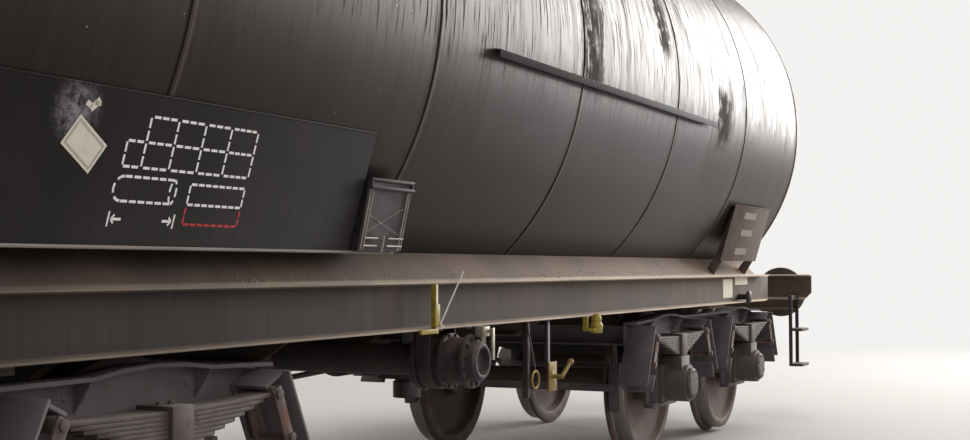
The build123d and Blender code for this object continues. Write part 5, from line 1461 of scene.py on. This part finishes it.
@dataclass
class RailCrust:
    """Crumbs of dried load and dirt that lie on the drip rails and on the saddle plates' lower edges."""

    crumbs: int = 420
    x: Pair = (-0.6, 2.1)
    y: Pair = (1.412, 1.43)
    size: Pair = (0.003, 0.011)
    edge_crumbs: int = 150
    edge_x: Pair = (-2.6, 3.1)
    edge_y: Pair = (1.075, 1.108)
    edge_size: Pair = (0.002, 0.006)
    seed: int = 7

    def build(self, shop: Workshop) -> None:
        """Makes the crumbs of both sides as one piece.

        Args:
            shop: The workshop that dresses the pieces.
        """
        draw = random.Random(self.seed)
        mesh = bmesh.new()
        for side in BOTH:
            for _ in range(self.crumbs):
                radius = draw.uniform(*self.size) * draw.uniform(0.5, 1.0)
                spot = Vector((-side * draw.uniform(*self.x), side * draw.uniform(*self.y),
                               DRIP_Z + radius * 0.4))
                stretch = Matrix.Diagonal((draw.uniform(1.0, 1.6), 1.0, draw.uniform(0.8, 1.4), 1.0))
                turn = Matrix.Rotation(draw.uniform(0, math.pi), 4, "Z")
                bmesh.ops.create_icosphere(mesh, subdivisions=1, radius=radius,
                                           matrix=Matrix.Translation(spot) @ turn @ stretch)
            for _ in range(self.edge_crumbs):
                radius = draw.uniform(*self.edge_size) * draw.uniform(0.5, 1.0)
                reach = draw.uniform(*self.edge_y)
                slope = (SOLE_EDGE_Y - reach) * SADDLE_RISE
                spot = Vector((-side * draw.uniform(*self.edge_x), side * reach,
                               SOLE_TOP_Z + slope + radius * 0.3))
                bmesh.ops.create_icosphere(mesh, subdivisions=1, radius=radius,
                                           matrix=Matrix.Translation(spot))
        shop.piece("drip_rail_crust", mesh, Finish.CRUST, smooth=60)


@dataclass
class DeckGratings:
    """Raised bars on the walkway and the end platform."""

    walkway_top: float = TANK_CROWN_Z + 0.12
    walkway_parts: tuple[tuple[Pair, Pair], ...] = (
        ((-4.4, -0.58), (-0.3, 0.3)), ((-0.58, 1.2), (-0.58, -0.36)), ((-0.58, 1.2), (0.36, 0.58)),
        ((-0.58, -0.43), (-0.36, 0.36)))
    platform_top: float = SOLE_TOP_Z + 0.028
    platform_parts: tuple[tuple[Pair, Pair], ...] = (((-5.625, -5.18), (-1.25, 1.25)),)
    rise: float = 0.006
    bar: float = 0.005
    pitch: float = 0.034
    tie_pitch: float = 0.12
    tie_share: float = 0.6

    def deck(self, mesh: BMesh, x: Pair, y: Pair, top: float) -> None:
        """Adds the bars of one rectangular deck.

        Args:
            mesh: The mesh that takes them.
            x: The deck's reach along the wagon.
            y: Its reach across the wagon.
            top: Its top face's height.
        """
        for low, high, pitch, lift in ((x, y, self.pitch, self.rise),
                                       (y, x, self.tie_pitch, self.rise * self.tie_share)):
            count = round((low[1] - low[0]) / pitch)
            step = (low[1] - low[0] - self.bar) / count
            for k in range(count + 1):
                start = low[0] + k * step
                across = (start, start + self.bar)
                bar_x, bar_y = (across, high) if low is x else (high, across)
                add_box(mesh, (bar_x[0], bar_y[0], top - self.bar), (bar_x[1], bar_y[1], top + lift))

    def build(self, shop: Workshop) -> None:
        """Makes the gratings of both decks.

        Args:
            shop: The workshop that dresses the pieces.
        """
        for name, parts, top in (("walkway", self.walkway_parts, self.walkway_top),
                                 ("platform", self.platform_parts, self.platform_top)):
            mesh = bmesh.new()
            for x, y in parts:
                self.deck(mesh, x, y, top)
            shop.piece(name + "_grating", mesh, Finish.ZINC)


@dataclass
class ReleaseGear:
    """Release wires, rings and change-over plates: brass-brown below, dark posts above."""

    dark_above: float = 0.835
    post_width: float = 0.035

    def build(self, shop: Workshop) -> None:
        """Stands in for the node with the posts in dark steel.

        Args:
            shop: The workshop that dresses the pieces.
        """
        mesh = merged_copy("release_gear")
        soften(mesh, MM)
        for group in loose_parts(mesh):
            width = max(v.co.x for v in group) - min(v.co.x for v in group)
            for face in {f for v in group for f in v.link_faces}:
                if width < self.post_width or face.calc_center_median().z > self.dark_above:
                    face.material_index = 1
        shop.piece("release_gear_shape", mesh, Finish.BRASS, nodes=("release_gear",),
                   second=Finish.GEAR)


@dataclass
class PhotoCamera:
    """Camera at the photograph's place, with its view."""

    place: Triple = (-6.2419, -3.8986, 1.304)
    yaw: float = 25.9
    pitch: float = 2.1
    roll: float = -0.2
    lens: float = 50.33
    sensor: float = 36.0
    clip: Pair = (0.05, 200.0)

    def build(self) -> None:
        """Makes the camera and gives it to the scene."""
        yaw, pitch, roll = (math.radians(v) for v in (self.yaw, self.pitch, self.roll))
        ahead = Vector((math.cos(yaw) * math.cos(pitch), math.sin(yaw) * math.cos(pitch), math.sin(pitch)))
        right = Vector((math.sin(yaw), -math.cos(yaw), 0.0))
        up = right.cross(ahead)
        rolled_right = right * math.cos(roll) + up * math.sin(roll)
        rolled_up = up * math.cos(roll) - right * math.sin(roll)
        data = bpy.data.cameras.new("photo_camera")
        data.lens = self.lens
        data.sensor_width = self.sensor
        data.clip_start, data.clip_end = self.clip
        camera = bpy.data.objects.new("photo_camera", data)
        turn = Matrix((rolled_right, rolled_up, -ahead)).transposed().to_4x4()
        camera.matrix_world = Matrix.Translation(self.place) @ turn
        bpy.context.scene.collection.objects.link(camera)
        bpy.context.scene.camera = camera


@dataclass(frozen=True)
class Lamp:
    """One soft rectangular lamp that looks at a point, with its size in metres and power in watts."""

    name: str
    place: Triple
    aim: Triple
    size: Pair
    power: float

    def build(self) -> None:
        """Makes the lamp."""
        data = bpy.data.lights.new(self.name, "AREA")
        data.shape = "RECTANGLE"
        data.size, data.size_y = self.size
        data.energy = self.power
        thing = bpy.data.objects.new(self.name, data)
        way = Vector(self.aim) - Vector(self.place)
        turn = way.to_track_quat("-Z", "Y").to_matrix().to_4x4()
        thing.matrix_world = Matrix.Translation(self.place) @ turn
        bpy.context.scene.collection.objects.link(thing)


@dataclass
class Studio:
    """Floor that pales into its surroundings between two distances, and large soft lamps."""

    floor_colour: str = "#bdb9b4"
    floor_half: float = 60.0
    surround: str = "#f4f2f0"
    ambient: float = 0.4
    fade: Pair = (7.5, 19.0)
    lamps: tuple[Lamp, ...] = (
        Lamp("overhead", (2.0, -2.0, 12.0), (1.0, 0.0, 2.0), (12.0, 8.0), 800.0),
        Lamp("near_side", (-3.0, -12.0, 5.0), (0.0, 0.0, 1.5), (10.0, 5.0), 240.0),
        Lamp("right_sky", (17.0, -6.0, 6.2), (1.0, -1.0, 2.3), (9.4, 6.0), 2500.0),
        Lamp("far_side", (2.0, 12.0, 6.0), (0.0, 0.0, 2.0), (10.0, 5.0), 350.0))

    @staticmethod
    def seen_rays(add: partial) -> bpy.types.Node:
        """Adds nodes that give 1 for camera, glossy and transmission rays and 0 for the others.

        Args:
            add: The add_node of a node tree.

        Returns:
            The last of the nodes.
        """
        path = add("LightPath")
        seen = add("Math", MAXIMUM, Value=path.outputs["Is Camera Ray"],
                   Value_001=path.outputs["Is Glossy Ray"])
        return add("Math", MAXIMUM, Value=seen, Value_001=path.outputs["Is Transmission Ray"])

    def floor(self) -> None:
        """Makes the floor, which keeps its shadows near the wagon."""
        mesh = bmesh.new()
        bmesh.ops.create_grid(mesh, x_segments=1, y_segments=1, size=self.floor_half)
        data = bpy.data.meshes.new("studio_floor")
        mesh.to_mesh(data)
        mesh.free()
        material, add = new_material("studio_floor")
        shader = add("BsdfPrincipled", Base_Color=linear(self.floor_colour), Roughness=0.9)
        pale = add("Emission", Color=linear(self.surround), Strength=1.0)
        away = add("VectorMath", {"operation": "LENGTH"}, Vector=add("TexCoord").outputs["Object"])
        far = add("MapRange", SMOOTH, Value=away, From_Min=self.fade[0], From_Max=self.fade[1])
        share = add("Math", MULTIPLY, Value=far, Value_001=self.seen_rays(add))
        add("OutputMaterial", Surface=add("MixShader", Fac=share, Shader=shader, Shader_001=pale))
        data.materials.append(material)
        thing = bpy.data.objects.new("studio_floor", data)
        bpy.context.scene.collection.objects.link(thing)

    def surroundings(self) -> None:
        """Makes the world: pale to the camera and to reflections, softer as a light."""
        world = bpy.data.worlds.new("studio")
        world.use_nodes = True
        world.node_tree.nodes.clear()
        add = partial(add_node, world.node_tree)
        strength = add("MapRange", Value=self.seen_rays(add), To_Min=self.ambient)
        add("OutputWorld", Surface=add("Background", Color=linear(self.surround), Strength=strength))
        bpy.context.scene.world = world

    def build(self) -> None:
        """Makes the whole studio."""
        self.floor()
        self.surroundings()
        for lamp in self.lamps:
            lamp.build()


@dataclass
class TankCar:
    """The whole wagon."""

    shop: Workshop = field(default_factory=Workshop)

    def plain_nodes(self) -> None:
        """Rounds and dresses the nodes of the wagon's own body, and the lid."""
        for finish, slot, width, nodes in (
                (Finish.SADDLE, "frame_paint", 3.0, ("saddle_plates",)),
                (Finish.FRAME, "frame_paint", 3.0, ("sole_bars", "headstocks", "end_sills",
                                                    "end_cross_members", "body_bolsters", "cross_stays",
                                                    "buffer_housings")),
                (Finish.CASTING, "cast_steel", 3.0, ("centre_pivots",)),
                (Finish.WORN, "worn_steel", 3.0, ("buffer_heads", "draw_hooks", "screw_couplings")),
                (Finish.GEAR, "gear_steel", 2.0, ("brake_pipes", "outlet_pipes", "outlet_drums",
                                                  "outlet_cradles", "air_reservoir", "brake_cylinder",
                                                  "brake_distributor", "brake_rods", "corner_steps",
                                                  "rope_hooks")),
                (Finish.TANK, "tank_paint", 2.0, ("manhole_neck",)),
                (Finish.RAIL, "tank_paint", 2.0, ("drip_rails",)),
                (Finish.BOARD, "board_paint", 1.0, ("inscription_boards",)),
                (Finish.END_BOARD, "board_paint", 1.0, ("end_boards",)),
                (Finish.CLIP, "zinc_sheet", 1.0, ("document_frames",)),
                (Finish.ZINC, "zinc_sheet", 1.0, ("end_platform", "ladder", "top_walkway")),
                (Finish.VALVE, "valve_metal", 1.5, ("outlet_valves", "top_valves")),
                (Finish.YELLOW, "yellow_paint", 1.0, ("hand_levers",))):
            for node in nodes:
                self.shop.refined(node, finish, slot, width * MM)
        self.shop.refined("manhole_lid", Finish.TANK, "tank_paint", 2 * MM, "manhole_lid")

    def build(self) -> None:
        """Makes every piece, one sub-assembly after another."""
        TankShell().build(self.shop)
        self.plain_nodes()
        for assembly in (Board, EndBoardPatches, ClipWires, SoleBarFittings, WagonFasteners, RailCrust,
                         DeckGratings, ReleaseGear):
            assembly().build(self.shop)
        for name, way in (("left", -1), ("right", 1)):
            Bogie(name, way * PIVOT_X).build(self.shop)
            for place, from_pivot in (("outer", HALF_WHEELBASE), ("inner", -HALF_WHEELBASE)):
                WheelPair().build(self.shop, f"wheelset_{name}_{place}", way * (PIVOT_X + from_pivot))


def main() -> None:
    """Builds the scene round the frame."""
    logging.basicConfig(level=logging.INFO, format="%(message)s")
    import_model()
    bpy.context.scene.view_settings.view_transform = "Standard"
    PhotoCamera().build()
    Studio().build()
    car = TankCar()
    car.build()
    LOG.info("%d pieces", len(car.shop.made))


if __name__ == "__main__":
    main()
